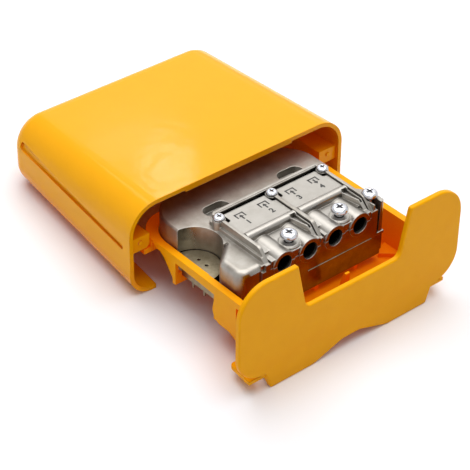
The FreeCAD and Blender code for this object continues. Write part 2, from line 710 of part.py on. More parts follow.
def casting_blank():
    rear = slab(casting_outline(0), on_xy(CASTING_BOTTOM), V(0, 0, CASTING_TOP - CASTING_BOTTOM))
    rear = rear.cut(box(-OUTSIDE, 0, 0, CHAMBER_FRONT - 2, 0, OUTSIDE))
    rear = bevelled(rear, TOP_EASE, lambda e: edge_box(e).ZMin > CASTING_TOP - TINY
                    and edge_box(e).YMax > CHAMBER_FRONT)
    front = box(-FRONT_LEFT, FRONT_RIGHT, CASTING_FRONT, CHAMBER_FRONT, FRONT_SEAM, CASTING_TOP)
    back_of_front = box(-FRONT_LEFT, FRONT_RIGHT, PAN_FRONT + PAN_WALL + TINY, CHAMBER_FRONT,
                        CASTING_BOTTOM, FRONT_SEAM)
    plan = [
        (-CASTING_LEFT + 0.2, SHOULDER_FRONT, SHOULDER_RADIUS),
        (-SHOULDER_INNER, SHOULDER_FRONT, 0),
        (-SHOULDER_INNER, SHOULDER_REAR, 0),
        (-SHOULDER_INNER - NECK_WIDTH, SHOULDER_REAR, 0),
        (-CASTING_LEFT + 0.2, SHOULDER_BEND, SHOULDER_REAR_RADIUS),
    ]
    shoulder = slab(plan, on_xy(CASTING_BOTTOM), V(0, 0, CASTING_TOP - CASTING_BOTTOM))
    shoulder = eased(shoulder, SHOULDER_EASE, lambda e: edge_box(e).ZMin > CASTING_TOP - TINY
                     and edge_box(e).XMin < -SHOULDER_INNER - TINY and edge_box(e).YMin < SHOULDER_REAR - TINY)
    return rear.fuse([front, back_of_front, shoulder])


def connector_frame():
    """Raised rim round the lids: side walls that slope down at the front, and a rear bar."""
    half = FRAME_HALF_WIDTH
    side = [
        (CASTING_FRONT, FRONT_SEAM, 0),
        (FRAME_REAR, FRONT_SEAM, 0),
        (FRAME_REAR, FRAME_TOP, 0),
        (FRAME_SLOPE_START, FRAME_TOP, 2.5),
        (CASTING_FRONT + 0.6, FRAME_SLOPE_Z, 1.2),
        (CASTING_FRONT, FRAME_SLOPE_Z - 3, 0),
    ]
    body = slab(side, on_yz(-half), V(2 * half, 0, 0))
    body = eased(body, FRAME_CORNER, lambda e: abs(edge_box(e).YMin - FRAME_REAR) < TINY
                 and edge_box(e).ZLength > 5)
    wide = half + PLINTH_STEP
    plan = [
        (-wide, CASTING_FRONT, 0), (wide, CASTING_FRONT, 0),
        (wide, FRAME_REAR + PLINTH_STEP, FRAME_CORNER + PLINTH_STEP),
        (-wide, FRAME_REAR + PLINTH_STEP, FRAME_CORNER + PLINTH_STEP),
    ]
    plinth = slab(plan, on_xy(FRONT_SEAM), V(0, 0, CASTING_TOP + PLINTH_RISE - FRONT_SEAM))
    side_view = slab([
        (CASTING_FRONT, 0, 0), (OUTSIDE, 0, 0), (OUTSIDE, OUTSIDE, 0), (FRAME_SLOPE_START, OUTSIDE, 0),
        (FRAME_SLOPE_START, FRAME_TOP, 0), (CASTING_FRONT, FRAME_SLOPE_Z - 0.6, 0),
    ], on_yz(-OUTSIDE), V(2 * OUTSIDE, 0, 0))
    return body.fuse(plinth.common(side_view))


def lid_pits():
    """What the frame is hollowed by: the trough, the panel pits and the clamp pits."""
    half = FRAME_HALF_WIDTH - FRAME_WALL
    rib = CENTRE_RIB / 2
    pits = []
    for side in (-1, 1):
        x0, x1 = sorted((side * rib, side * half))
        pits.append(box(x0, x1, CLAMP_STEP, FRAME_REAR - FRAME_BAR, PIT_FLOOR, FRAME_TOP + 1))
        pits.append(box(x0, x1, CASTING_FRONT - 2, CLAMP_STEP + TINY, SEAT_Z, FRAME_TOP + 1))
    trough = box(-half, half, LID_REAR + LID_GAP, FRAME_REAR - FRAME_BAR,
                 PIT_FLOOR, FRAME_TOP + 1)
    return pits + [trough]


def screw_boss(x):
    return rod(SMALL_BOSS_RADIUS, V(x, SMALL_SCREW_Y, PIT_FLOOR - 1), V(0, 0, 1),
               FRAME_TOP - PIT_FLOOR + 1 - SMALL_SCREW_SINK)


def side_step():
    """Space beside the frame, where the casting's right side stays low."""
    return box(STEP_X, OUTSIDE, CASTING_FRONT - 1, FRAME_REAR + PLINTH_STEP, EARTH_BOTTOM + 2, OUTSIDE)


def earth_fork():
    inner = FRAME_HALF_WIDTH - TINY
    body = slab(
        [
            (inner, EARTH_FRONT, 0),
            (FRONT_RIGHT, EARTH_FRONT, 1.2),
            (FRONT_RIGHT, EARTH_REAR - 4, 2.4),
            (inner + 2, EARTH_REAR, 0.8),
            (inner, EARTH_REAR, 0),
        ],
        on_xy(EARTH_BOTTOM), V(0, 0, EARTH_TOP - EARTH_BOTTOM))
    middle = EARTH_X - FORK_SHIFT
    slot = slab(
        [
            (middle - FORK_BOTTOM_WIDTH / 2, FORK_BOTTOM, 0.7),
            (middle + FORK_BOTTOM_WIDTH / 2, FORK_BOTTOM, 0.7),
            (middle + FORK_TOP_WIDTH / 2, EARTH_TOP + 1, 0),
            (middle - FORK_TOP_WIDTH / 2, EARTH_TOP + 1, 0),
        ],
        on_xz(EARTH_FRONT - 1), V(0, FORK_DEPTH + 1, 0))
    return body.cut(slot)


def chamber():
    """Room for the filters, open downwards."""
    wall = CASTING_WALL
    top = CASTING_TOP - CHAMBER_ROOF - POCKET_DEPTH
    x0 = -CASTING_LEFT + SCOOP_RADIUS + wall
    x1 = STEP_X - wall
    plan = [
        (x0, CHAMBER_FRONT, 1.5), (x1, CHAMBER_FRONT, 1.5),
        (x1, CASTING_REAR - wall, 4), (x0, CASTING_REAR - wall, 4),
    ]
    room = slab(plan, on_xy(CASTING_BOTTOM - 1), V(0, 0, top - CASTING_BOTTOM + 1))
    reach = BORE_X[-1] + CONTACT_BAY_MARGIN
    bay = box(-reach, reach, CHAMBER_FRONT, CHAMBER_FRONT + CONTACT_BAY_LENGTH,
              top - 1, SEAT_Z + CONTACT_BAY_RISE)
    posts = [rod(BOARD_POST_RADIUS, V(x, y, BOARD_Z + BOARD_THICKNESS), V(0, 0, 1), top)
             for x in (x0 + 3, x1 - 3) for y in (CHAMBER_FRONT + 3, CASTING_REAR - wall - 6)]
    return room.fuse(bay).cut(posts)


def top_pocket(x):
    return rounded_box(x - POCKET_LENGTH / 2, x + POCKET_LENGTH / 2,
                       POCKET_Y - POCKET_WIDTH / 2, POCKET_Y + POCKET_WIDTH / 2,
                       CASTING_TOP - POCKET_DEPTH, CASTING_TOP + 1, POCKET_WIDTH / 2 - TINY)


def cable_bore(x):
    """Bore for the cable, and the narrower seat of the insulator behind it."""
    return [
        rod(BORE_RADIUS, V(x, 0, SEAT_Z), V(0, 1, 0), CASTING_FRONT + BORE_LENGTH),
        rod(INSULATOR_RADIUS + INSULATOR_GAP, V(x, CASTING_FRONT, SEAT_Z), V(0, 1, 0),
            BORE_LENGTH + INSULATOR_THICKNESS),
    ]


def screw_hole(screw, x, y, top, depth):
    return rod(screw[2] + SHANK_CLEARANCE, V(x, y, top - depth), V(0, 0, 1), depth + 1)


def clamp_hole_depth():
    """Depth below the seat that the screw's tip reaches when it is turned right in."""
    stand = BOSS_TOP + CLAMP_STAND
    return SEAT_Z - (stand - CLAMP_SCREW[3] - CLAMP_STAND) + 0.4


def make_housing():
    body = casting_blank().cut(side_step()).fuse([connector_frame(), earth_fork()])
    cuts = lid_pits() + [chamber(), top_pocket(-POCKET_X), top_pocket(POCKET_X)]
    cuts.append(rod(SCOOP_RADIUS, V(-CASTING_LEFT, SCOOP_Y, CASTING_BOTTOM - 1), V(0, 0, 1), OUTSIDE))
    body = body.cut(cuts)
    bosses = [screw_boss(x) for x in SMALL_SCREWS_X]
    rings = []
    bores = []
    for x in BORE_X:
        ring = rod(BARREL_RADIUS, V(x, CASTING_FRONT - RING_PROUD, SEAT_Z), V(0, 1, 0), 2)
        ring = ring.common(box(x - 6, x + 6, 0, 40, SEAT_Z - BARREL_RADIUS - 1, SEAT_Z))
        rings.append(ring)
        bores += cable_bore(x)
        bores.append(rod(CONTACT_RADIUS + SHANK_CLEARANCE, V(x, CASTING_FRONT, SEAT_Z),
                         V(0, 1, 0), CHAMBER_FRONT - CASTING_FRONT + 1))
    body = body.fuse(bosses + rings).cut(bores)
    holes = [screw_hole(SMALL_SCREW, x, SMALL_SCREW_Y, FRAME_TOP - SMALL_SCREW_SINK, SMALL_SCREW[3] + 0.4)
             for x in SMALL_SCREWS_X]
    holes += [rod(SMALL_SCREW[0] + HEAD_GAP, V(x, SMALL_SCREW_Y, FRAME_TOP - SMALL_SCREW_SINK),
                  V(0, 0, 1), OUTSIDE) for x in SMALL_SCREWS_X]
    for x in (-BORE_PITCH, BORE_PITCH):
        holes.append(screw_hole(CLAMP_SCREW, x, BOSS_Y, SEAT_Z, clamp_hole_depth()))
    holes.append(screw_hole(EARTH_SCREW, EARTH_X, EARTH_SCREW_Y, EARTH_TOP, EARTH_SCREW[3] + 0.4))
    holes.append(rod(EARTH_SCREW[0] + HEAD_GAP, V(EARTH_X, EARTH_SCREW_Y, EARTH_TOP), V(0, 0, 1), OUTSIDE))
    holes.append(box(-FRONT_LEFT, OUTSIDE, 0, PAN_FRONT + PAN_WALL + TINY, 0, FRONT_SEAM))
    holes.append(box(-OUTSIDE, -FRAME_HALF_WIDTH - PLINTH_STEP, 0, SHOULDER_FRONT, FRAME_SLOPE_Z - 2, OUTSIDE))
    for side in (-1, 1):
        start, length = hinge_span(side)
        holes.append(rod(HINGE_RADIUS, V(start, hinge_y(), HINGE_Z), V(1, 0, 0), length))
    return body.cut(holes)


def hinge_y():
    return LID_REAR - HINGE_SET_IN


def lid_span(side):
    """Left and right X of a lid, given -1 for the left lid and 1 for the right one."""
    near = CENTRE_RIB / 2 + LID_GAP
    far = FRAME_HALF_WIDTH - FRAME_WALL - LID_GAP
    return sorted((side * near, side * far))


def hinge_span(side):
    """Start and length of a hinge pin, which ends short of the small screws' shanks."""
    short = SMALL_SCREW[2] + HINGE_BEARING
    start, end = sorted((side * short, side * (SMALL_SCREW_X - short)))
    return start, end - start


def lid_profile(x0, x1):
    """Panel with its cross ridge, and the bridge that the barrels stand on."""
    bottom = PANEL_TOP - PANEL_THICKNESS
    hinge = hinge_y()
    radius = LID_REAR - hinge
    panel = box(x0, x1, PANEL_FRONT - 1, hinge, bottom, PANEL_TOP)
    knuckle = rod(radius, V(x0, hinge, PANEL_TOP - radius), V(1, 0, 0), x1 - x0)
    ridge_z = PANEL_TOP + RIDGE_RISE - RIDGE_RADIUS
    ridge = rod(RIDGE_RADIUS, V(x0, PANEL_FRONT, ridge_z), V(1, 0, 0), x1 - x0)
    step_gap = LID_GAP
    bridge = box(x0, x1, CASTING_FRONT, CLAMP_STEP - step_gap, SEAT_Z + PARTING_GAP, BARREL_BRIDGE_TOP)
    raised = box(x0, x1, BOSS_Y, CLAMP_STEP - step_gap, SEAT_Z + PARTING_GAP, BARREL_BRIDGE_TOP + 1)
    neck = box(x0, x1, PANEL_FRONT - RIDGE_RADIUS, CLAMP_STEP - step_gap,
               SEAT_Z + PARTING_GAP, ridge_z)
    return panel.fuse([knuckle, ridge, bridge, raised, neck])


def make_lid(side):
    x0, x1 = lid_span(side)
    centre = side * BORE_PITCH
    lid = lid_profile(x0, x1)
    near_seat = SEAT_Z + PARTING_GAP
    barrels = []
    for x in (centre - BORE_PITCH / 2, centre + BORE_PITCH / 2):
        barrels.append(rod(BARREL_RADIUS, V(x, CASTING_FRONT - RING_PROUD, SEAT_Z), V(0, 1, 0),
                           PANEL_FRONT - CASTING_FRONT + RING_PROUD))
    boss = rod(BOSS_RADIUS, V(centre, BOSS_Y, SEAT_Z), V(0, 0, 1), BOSS_TOP - SEAT_Z)
    boss = bevelled(boss, 0.6, lambda e: edge_box(e).ZMin > BOSS_TOP - TINY)
    right_barrel = centre + BORE_PITCH / 2
    far = x1 - CHEEK_WALL
    cheek_side = slab(
        [
            (CASTING_FRONT + 0.9, SEAT_Z, 0),
            (CASTING_FRONT + 0.9, FRAME_SLOPE_Z, 0),
            (FRAME_SLOPE_START, CHEEK_TOP, 0),
            (PANEL_FRONT, CHEEK_TOP, 0),
            (PANEL_FRONT, SEAT_Z, 0),
        ],
        on_yz(right_barrel), V(x1 - right_barrel, 0, 0))
    cheek_plan = slab(
        [
            (x1, CASTING_FRONT, 0),
            (x1, PANEL_FRONT, 0),
            (far - CHEEK_POCKET_WIDTH - CHEEK_WALL, PANEL_FRONT, 0),
            (far - 2 * CHEEK_WALL, CASTING_FRONT + 4, 0),
            (far - 2 * CHEEK_WALL, CASTING_FRONT, 0),
        ],
        on_xy(SEAT_Z), V(0, 0, OUTSIDE))
    cheek = cheek_side.common(cheek_plan)
    pocket = slab(
        [
            (far, PANEL_FRONT - 0.8, 0),
            (far - CHEEK_POCKET_WIDTH, PANEL_FRONT - 0.8, 0),
            (far - CHEEK_WALL, CASTING_FRONT + 4.6, 0),
            (far, CASTING_FRONT + 4.6, 0),
        ],
        on_xy(CHEEK_TOP - CHEEK_POCKET_DEPTH), V(0, 0, CHEEK_POCKET_DEPTH + 1))
    lid = lid.fuse(barrels + [boss, cheek])
    keep = box(x0, x1, 0, LID_REAR + 1, near_seat, FRAME_TOP + 3)
    lid = lid.common(keep).cut(pocket)
    cuts = cable_bore(centre - BORE_PITCH / 2) + cable_bore(centre + BORE_PITCH / 2)
    cuts.append(rod(CLAMP_SCREW[2] + SHANK_CLEARANCE, V(centre, BOSS_Y, 0), V(0, 0, 1), OUTSIDE))
    cuts.append(rod(HINGE_RADIUS + HINGE_CLEARANCE, V(x0 - 1, hinge_y(), HINGE_Z), V(1, 0, 0),
                    x1 - x0 + 2))
    head_top = FRAME_TOP - SMALL_SCREW_SINK + SMALL_SCREW[1]
    swing = math.hypot(hinge_y() - SMALL_SCREW_Y + SMALL_SCREW[0], head_top - HINGE_Z)
    notch_front = hinge_y() - swing - NOTCH_GAP
    notch_half = SMALL_BOSS_RADIUS + LID_GAP
    for x in SMALL_SCREWS_X:
        cuts.append(rounded_box(x - notch_half, x + notch_half, notch_front, LID_REAR + NOTCH_GAP + 1,
                                0, OUTSIDE, 1.0))
    return lid.cut(cuts).removeSplitter()


def make_hinge_pin(side):
    start, length = hinge_span(side)
    return rod(HINGE_RADIUS, V(start, hinge_y(), HINGE_Z), V(1, 0, 0), length)


def make_screw(screw, x, y, seat):
    """Pan-head screw with a cross recess; its head's underside lies at seat."""
    head_radius, head_height, shank_radius, shank_length = screw
    head = rod(head_radius, V(x, y, seat), V(0, 0, 1), head_height)
    head = bevelled(head, head_height * 0.45, lambda e: edge_box(e).ZMin > seat + head_height - TINY)
    arm = head_radius * RECESS_HALF_LENGTH
    half = head_radius * RECESS_HALF_WIDTH
    top = seat + head_height
    low = top - head_height * RECESS_DEPTH
    cross = box(x - arm, x + arm, y - half, y + half, low, top + 1)
    cross = cross.fuse(box(x - half, x + half, y - arm, y + arm, low, top + 1))
    shank = rod(shank_radius, V(x, y, seat - shank_length), V(0, 0, 1), shank_length + TINY)
    return head.cut(cross).fuse(shank)


def pan_rear_outline(inset):
    return casting_outline(-PAN_GAP - inset)


def make_pan():
    """Pressed base pan: a deeper box under the clamps, a flat rear and an ear in the scoop."""
    left = -FRONT_LEFT + PAN_GAP
    right = FRONT_RIGHT - 2 * PAN_GAP
    front = PAN_FRONT
    back = CHAMBER_FRONT - 4
    deep = rounded_box(left, right, front, back, PAN_DEEP_BOTTOM, CASTING_BOTTOM, 1.2)
    rear = slab(pan_rear_outline(0), on_xy(PAN_BOTTOM), V(0, 0, CASTING_BOTTOM - PAN_BOTTOM))
    upstand = box(left, right, front, front + PAN_WALL, PAN_DEEP_BOTTOM + 2, FRONT_SEAM)
    deep_hollow = rounded_box(left + PAN_WALL, right - PAN_WALL, front + PAN_WALL, back - PAN_WALL,
                              PAN_DEEP_BOTTOM + PAN_WALL, CASTING_BOTTOM + 1, 0.6)
    rear_hollow = slab(pan_rear_outline(PAN_WALL), on_xy(PAN_BOTTOM + PAN_WALL), V(0, 0, 20))
    scoop_wall = rod(SCOOP_RADIUS + PAN_WALL, V(-CASTING_LEFT, SCOOP_Y, PAN_BOTTOM), V(0, 0, 1),
                     CASTING_BOTTOM - PAN_BOTTOM)
    rear_hollow = rear_hollow.cut([scoop_wall, box(left, right, front, back + PAN_WALL, 0, 30)])
    pan = rear.fuse([deep, upstand]).cut([deep_hollow, rear_hollow])
    ear_radius = SCOOP_RADIUS - PAN_GAP
    edge = -CASTING_LEFT + PAN_GAP
    ear = rod(ear_radius, V(-CASTING_LEFT, SCOOP_Y, PAN_BOTTOM), V(0, 0, 1), EAR_TOP - PAN_BOTTOM)
    ear = ear.common(box(edge, 0, SCOOP_Y - SCOOP_RADIUS, SCOOP_Y + SCOOP_RADIUS, 0, OUTSIDE))
    under = rod(ear_radius - PAN_WALL, V(-CASTING_LEFT, SCOOP_Y, PAN_BOTTOM - 1), V(0, 0, 1),
                EAR_TOP - EAR_THICKNESS - PAN_BOTTOM + 1)
    under = under.common(box(edge + PAN_WALL, 0, SCOOP_Y - SCOOP_RADIUS, SCOOP_Y + SCOOP_RADIUS, 0, OUTSIDE))
    holes = [under]
    for step in (-0.5, 0.5):
        holes.append(rod(EAR_HOLE_RADIUS, V(edge + EAR_HOLE_X, SCOOP_Y + step * EAR_HOLE_PITCH,
                                            EAR_TOP - 2), V(0, 0, 1), 3))
    bosses = [rod(FIXING_BOSS_RADIUS, V(x, FIXING_Y, PAN_BOTTOM), V(0, 0, 1), FIXING_SCREW[3])
              for x in (-FIXING_X, FIXING_X)]
    pan = pan.cut(rod(ear_radius, V(-CASTING_LEFT, SCOOP_Y, 0), V(0, 0, 1), OUTSIDE)).fuse([ear] + bosses)
    for x in (-FIXING_X, FIXING_X):
        holes.append(rod(FIXING_SCREW[2] + SHANK_CLEARANCE, V(x, FIXING_Y, 0), V(0, 0, 1), OUTSIDE))
    return pan.cut(holes)


def make_leg(y):
    top = PAN_BOTTOM
    return box(-LEG_X, -LEG_X + LEG_THICKNESS, y - LEG_WIDTH / 2, y + LEG_WIDTH / 2, LEG_BOTTOM, top)


def make_board():
    plan = [
        (-CASTING_LEFT + SCOOP_RADIUS + CASTING_WALL + BOARD_MARGIN, CHAMBER_FRONT + BOARD_MARGIN, 1),
        (STEP_X - CASTING_WALL - BOARD_MARGIN, CHAMBER_FRONT + BOARD_MARGIN, 1),
        (STEP_X - CASTING_WALL - BOARD_MARGIN, CASTING_REAR - CASTING_WALL - BOARD_MARGIN, 4),
        (-CASTING_LEFT + SCOOP_RADIUS + CASTING_WALL + BOARD_MARGIN,
         CASTING_REAR - CASTING_WALL - BOARD_MARGIN, 4),
    ]
    return slab(plan, on_xy(BOARD_Z), V(0, 0, BOARD_THICKNESS))


def make_coil(x):
    """Filter coil lying on the board: a core with one pointed turn beside the other."""
    z = BOARD_Z + BOARD_THICKNESS + COIL_RADIUS
    y = CHAMBER_FRONT + COIL_SET_BACK
    count = int(COIL_LENGTH / COIL_WIRE)
    profile = [V(x, y, z), V(x, y, z + COIL_RADIUS - COIL_WIRE / 2)]
    for i in range(count):
        profile.append(V(x, y + (i + 0.5) * COIL_WIRE, z + COIL_RADIUS))
        profile.append(V(x, y + (i + 1) * COIL_WIRE, z + COIL_RADIUS - COIL_WIRE / 2))
    profile += [V(x, y + count * COIL_WIRE, z), V(x, y, z)]
    return Part.Face(Part.makePolygon(profile)).revolve(V(x, y, z), V(0, 1, 0), 360)


def make_capacitor(x):
    z = BOARD_Z + BOARD_THICKNESS + CAPACITOR_RADIUS
    return rod(CAPACITOR_RADIUS, V(x, CHAMBER_FRONT + 24, z), V(0, 1, 0), CAPACITOR_THICKNESS)


def make_shield():
    low = BOARD_Z + BOARD_THICKNESS
    top = CASTING_TOP - CHAMBER_ROOF - POCKET_DEPTH
    return box(-CASTING_LEFT + SCOOP_RADIUS + CASTING_WALL + 1, STEP_X - CASTING_WALL - 1,
               CHAMBER_FRONT + 20, CHAMBER_FRONT + 20 + SHIELD_THICKNESS, low, top)


def make_insulator(x):
    start = CASTING_FRONT + BORE_LENGTH
    disc = rod(INSULATOR_RADIUS, V(x, start, SEAT_Z), V(0, 1, 0), INSULATOR_THICKNESS)
    return disc.cut(rod(CONTACT_RADIUS, V(x, start - 1, SEAT_Z), V(0, 1, 0), INSULATOR_THICKNESS + 2))


def make_contact(x):
    start = CASTING_FRONT + BORE_LENGTH - CONTACT_REACH
    pin = rod(CONTACT_RADIUS, V(x, start, SEAT_Z), V(0, 1, 0), CONTACT_LENGTH)
    return bevelled(pin, CONTACT_RADIUS * 0.5, lambda e: edge_box(e).YMax < start + TINY)


def rest_shift():
    """From the drawing's origin to the point under the middle of the pulled-out mixer."""
    return V(0, (PULL_OUT - HOOD_DEPTH) / 2, FOOT_DROP)


def save(name, shape, pulled_out):
    move = rest_shift()
    if pulled_out:
        move = move - V(0, PULL_OUT, 0)
    placed = shape.copy()
    placed.translate(move)
    solids = placed.Solids
    if len(solids) == 1:
        placed = solids[0]
    print(name, len(solids), "solid", round(placed.Volume, 2), placed.isValid())
    placed.exportStep("parts/" + name + ".step")


def main():
    os.makedirs("parts", exist_ok=True)
    save("hood", make_hood(), False)
    save("tray", make_tray(), True)
    save("mixer_housing", make_housing(), True)
    save("base_pan", make_pan(), True)
    for name, y in zip(("front_ground_leg", "rear_ground_leg"), LEG_Y):
        save(name, make_leg(y), True)
    for side, name in ((-1, "left"), (1, "right")):
        save(name + "_lid", make_lid(side), True)
        save(name + "_hinge_pin", make_hinge_pin(side), True)
        save(name + "_clamp_screw",
             make_screw(CLAMP_SCREW, side * BORE_PITCH, BOSS_Y, BOSS_TOP + CLAMP_STAND), True)
        save(name + "_fixing_screw", make_fixing_screw(side * FIXING_X), True)
    for x, name in zip(SMALL_SCREWS_X, ("left", "middle", "right")):
        save(name + "_frame_screw", make_screw(SMALL_SCREW, x, SMALL_SCREW_Y, FRAME_TOP - SMALL_SCREW_SINK), True)
    save("earth_screw", make_screw(EARTH_SCREW, EARTH_X, EARTH_SCREW_Y, EARTH_TOP + EARTH_STAND), True)
    for i, x in enumerate(BORE_X):
        save("insulator_%d" % (i + 1), make_insulator(x), True)
        save("centre_contact_%d" % (i + 1), make_contact(x), True)
    save("circuit_board", make_board(), True)
    save("shield_wall", make_shield(), True)
    for i, x in enumerate((-17, 0, 17)):
        save("filter_coil_%d" % (i + 1), make_coil(x), True)
        save("filter_capacitor_%d" % (i + 1), make_capacitor(x), True)


def make_fixing_screw(x):
    """Pan-head screw from below, through the tray's bar into the pan."""
    screw = make_screw(FIXING_SCREW, 0, 0, 0)
    screw.rotate(V(0, 0, 0), V(1, 0, 0), 180)
    screw.translate(V(x, FIXING_Y, PAN_BOTTOM - WEB_HEIGHT))
    return screw


main()
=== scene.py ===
# Antenna signal mixer: a die-cast cable clamp block on a tray, pulled out of its weather hood.
import math
import bpy
import bmesh
from mathutils import Matrix, Vector


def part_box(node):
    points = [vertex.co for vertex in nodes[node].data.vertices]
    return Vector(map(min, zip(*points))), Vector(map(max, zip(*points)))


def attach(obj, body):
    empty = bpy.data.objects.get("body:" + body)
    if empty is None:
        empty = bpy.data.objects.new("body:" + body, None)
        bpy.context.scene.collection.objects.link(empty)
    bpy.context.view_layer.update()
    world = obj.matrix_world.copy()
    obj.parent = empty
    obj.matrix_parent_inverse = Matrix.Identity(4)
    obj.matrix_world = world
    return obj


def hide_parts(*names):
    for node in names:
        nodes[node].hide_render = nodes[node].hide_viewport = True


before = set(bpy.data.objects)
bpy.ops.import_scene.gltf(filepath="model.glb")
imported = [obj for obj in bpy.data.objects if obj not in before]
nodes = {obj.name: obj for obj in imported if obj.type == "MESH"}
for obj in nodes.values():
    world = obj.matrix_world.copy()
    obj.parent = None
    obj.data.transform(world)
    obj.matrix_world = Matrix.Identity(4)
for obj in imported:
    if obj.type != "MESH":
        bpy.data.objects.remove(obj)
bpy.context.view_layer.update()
scene = bpy.context.scene
print("frame loaded:", len(nodes), "pieces")

# Sizes below are in millimetres. Places are given from the hood's mouth or from the front
# plate, as they would be measured on the real thing, and are moved to the frame here.
mouthOffset = Vector((0, -8.5, 7.7))
plateOffset = Vector((0, -73.9, 7.7))
softSamples = 6  # rays for rounded edges and for hollows


def fromMouth(x, y, z):
    return (Vector((x, y, z)) + mouthOffset) / 1000


def fromPlate(x, y, z):
    return (Vector((x, y, z)) + plateOffset) / 1000


# sRGB hex to the linear colour that the nodes take.
def hexLinear(text):
    values = [int(text[i:i + 2], 16) / 255 for i in (1, 3, 5)]
    return tuple(v / 12.92 if v <= 0.04045 else ((v + 0.055) / 1.055) ** 2.4 for v in values) + (1,)


def addNode(tree, kind, settings=None, links=None):
    node = tree.nodes.new(kind)
    for key, value in (settings or {}).items():
        if isinstance(value, str) and value.startswith("#"):
            value = hexLinear(value)
        if isinstance(key, int) or key in node.inputs:
            node.inputs[key].default_value = value
        else:
            setattr(node, key, value)
    for key, source in (links or {}).items():
        tree.links.new(source, node.inputs[key])
    return node


def linkTo(tree, source, node, socket):
    tree.links.new(source, node.inputs[socket])


def newMaterial(name):
    material = bpy.data.materials.new(name)
    material.use_nodes = True
    tree = material.node_tree
    tree.nodes.clear()
    out = addNode(tree, "ShaderNodeOutputMaterial")
    shader = addNode(tree, "ShaderNodeBsdfPrincipled")
    linkTo(tree, shader.outputs[0], out, "Surface")
    return material, tree, shader


# 1 where walls stand close all round, 0 in the open; it masks the painted shade in hollows. The span
# says between which shares of open view it goes from one to the other.
def recessShare(tree, reachMm, span):
    near = addNode(tree, "ShaderNodeAmbientOcclusion",
                   {"samples": softSamples, "Distance": reachMm / 1000})
    share = addNode(tree, "ShaderNodeMapRange",
                    {"From Min": span[0], "From Max": span[1], "To Min": 1.0, "To Max": 0.0},
                    {"Value": near.outputs["AO"]})
    return share.outputs[0]


# Painted shade: a colour that goes over to a deeper one with the share.
def shaded(tree, colour, deepColour, share, amount, power=1.0):
    bent = addNode(tree, "ShaderNodeMath", {"operation": "POWER", 1: power}, {0: share})
    part = addNode(tree, "ShaderNodeMath", {"operation": "MULTIPLY", 1: amount}, {0: bent.outputs[0]})
    mix = addNode(tree, "ShaderNodeMix", {"data_type": "RGBA", 7: deepColour},
                  {"Factor": part.outputs[0], 6: colour})
    return mix.outputs[2]


# ABS, dyed right through and moulded. In its hollows the colour is painted over to a deep orange red
# and given a faint orange glow: painted shade and a painted glow. Near the floor both fade out, so what
# hangs low keeps its yellow over the pale floor.
absCommon = {
    "ior": 1.53,
    "rippleHigh": 2.0, "grainHigh": 0.1,
    "glossSpread": (0.9, 1.12),  # the roughness goes up and down with the ripple
    "reachMm": 26, "hollow": (0.3, 0.78),
    "paintedShadeFrom": (1.0, 6.0),  # height over the plate's foot
}


def mouldedAbs(name, spec):
    material, tree, shader = newMaterial(name)
    place = addNode(tree, "ShaderNodeTexCoord").outputs["Object"]
    ripple = addNode(tree, "ShaderNodeTexNoise", {"Scale": 1000 / spec["rippleMm"], "Detail": 2.0},
                     {"Vector": place})
    grain = addNode(tree, "ShaderNodeTexNoise", {"Scale": 1000 / spec["grainMm"], "Detail": 3.0},
                    {"Vector": place})
    tint = addNode(tree, "ShaderNodeMix", {"data_type": "RGBA", 6: spec["colour"], 7: spec["deep"]},
                   {"Factor": ripple.outputs[0]})
    rounded = addNode(tree, "ShaderNodeBevel", {"samples": softSamples, "Radius": spec["edgeMm"] / 1000})
    wide = addNode(tree, "ShaderNodeBump",
                   {"Strength": spec["ripple"], "Distance": absCommon["rippleHigh"] / 1000},
                   {"Height": ripple.outputs[0], "Normal": rounded.outputs[0]})
    fine = addNode(tree, "ShaderNodeBump",
                   {"Strength": spec["grain"], "Distance": absCommon["grainHigh"] / 1000},
                   {"Height": grain.outputs[0], "Normal": wide.outputs[0]})
    least, most = (spec["roughness"] * k for k in absCommon["glossSpread"])
    gloss = addNode(tree, "ShaderNodeMapRange", {"To Min": least, "To Max": most},
                    {"Value": ripple.outputs[0]})
    # Painted shade and a painted glow in the hollows, fading out towards the floor.
    hollow = recessShare(tree, absCommon["reachMm"], absCommon["hollow"])
    height = addNode(tree, "ShaderNodeSeparateXYZ", {}, {0: place}).outputs["Z"]
    low, high = (fromPlate(0, 0, z).z for z in absCommon["paintedShadeFrom"])
    raised = addNode(tree, "ShaderNodeMapRange", {"From Min": low, "From Max": high}, {"Value": height})
    share = addNode(tree, "ShaderNodeMath", {"operation": "MULTIPLY"},
                    {0: hollow, 1: raised.outputs[0]}).outputs[0]
    colour = shaded(tree, tint.outputs[2], spec["paintedShadeColour"], share, spec["paintedShadeShare"])
    paintedGlow = addNode(tree, "ShaderNodeMath", {"operation": "MULTIPLY", 1: spec["paintedGlow"]}, {0: share})
    linkTo(tree, colour, shader, "Base Color")
    linkTo(tree, gloss.outputs[0], shader, "Roughness")
    linkTo(tree, fine.outputs[0], shader, "Normal")
    linkTo(tree, paintedGlow.outputs[0], shader, "Emission Strength")
    shader.inputs["Emission Color"].default_value = hexLinear(spec["paintedGlowColour"])
    shader.inputs["IOR"].default_value = absCommon["ior"]
    shader.inputs["Specular IOR Level"].default_value = spec["shine"]
    return material


# From a polished mould: deep orange yellow with a clear gloss and a faint ripple in the
# reflections. The grain is finer on the real hood, and drawn as coarse as the render shows.
hoodPlastic = {
    "colour": "#F5AC08", "deep": "#F2A806", "roughness": 0.10, "shine": 0.10,
    "paintedShadeColour": "#C43200", "paintedShadeShare": 0.6, "paintedGlow": 0.055, "paintedGlowColour": "#FF5000",
    "rippleMm": 9.0, "ripple": 0.05, "grainMm": 0.35, "grain": 0.04, "edgeMm": 0.5,
}
hoodMaterial = mouldedAbs("glossyMouldedAbs", hoodPlastic)
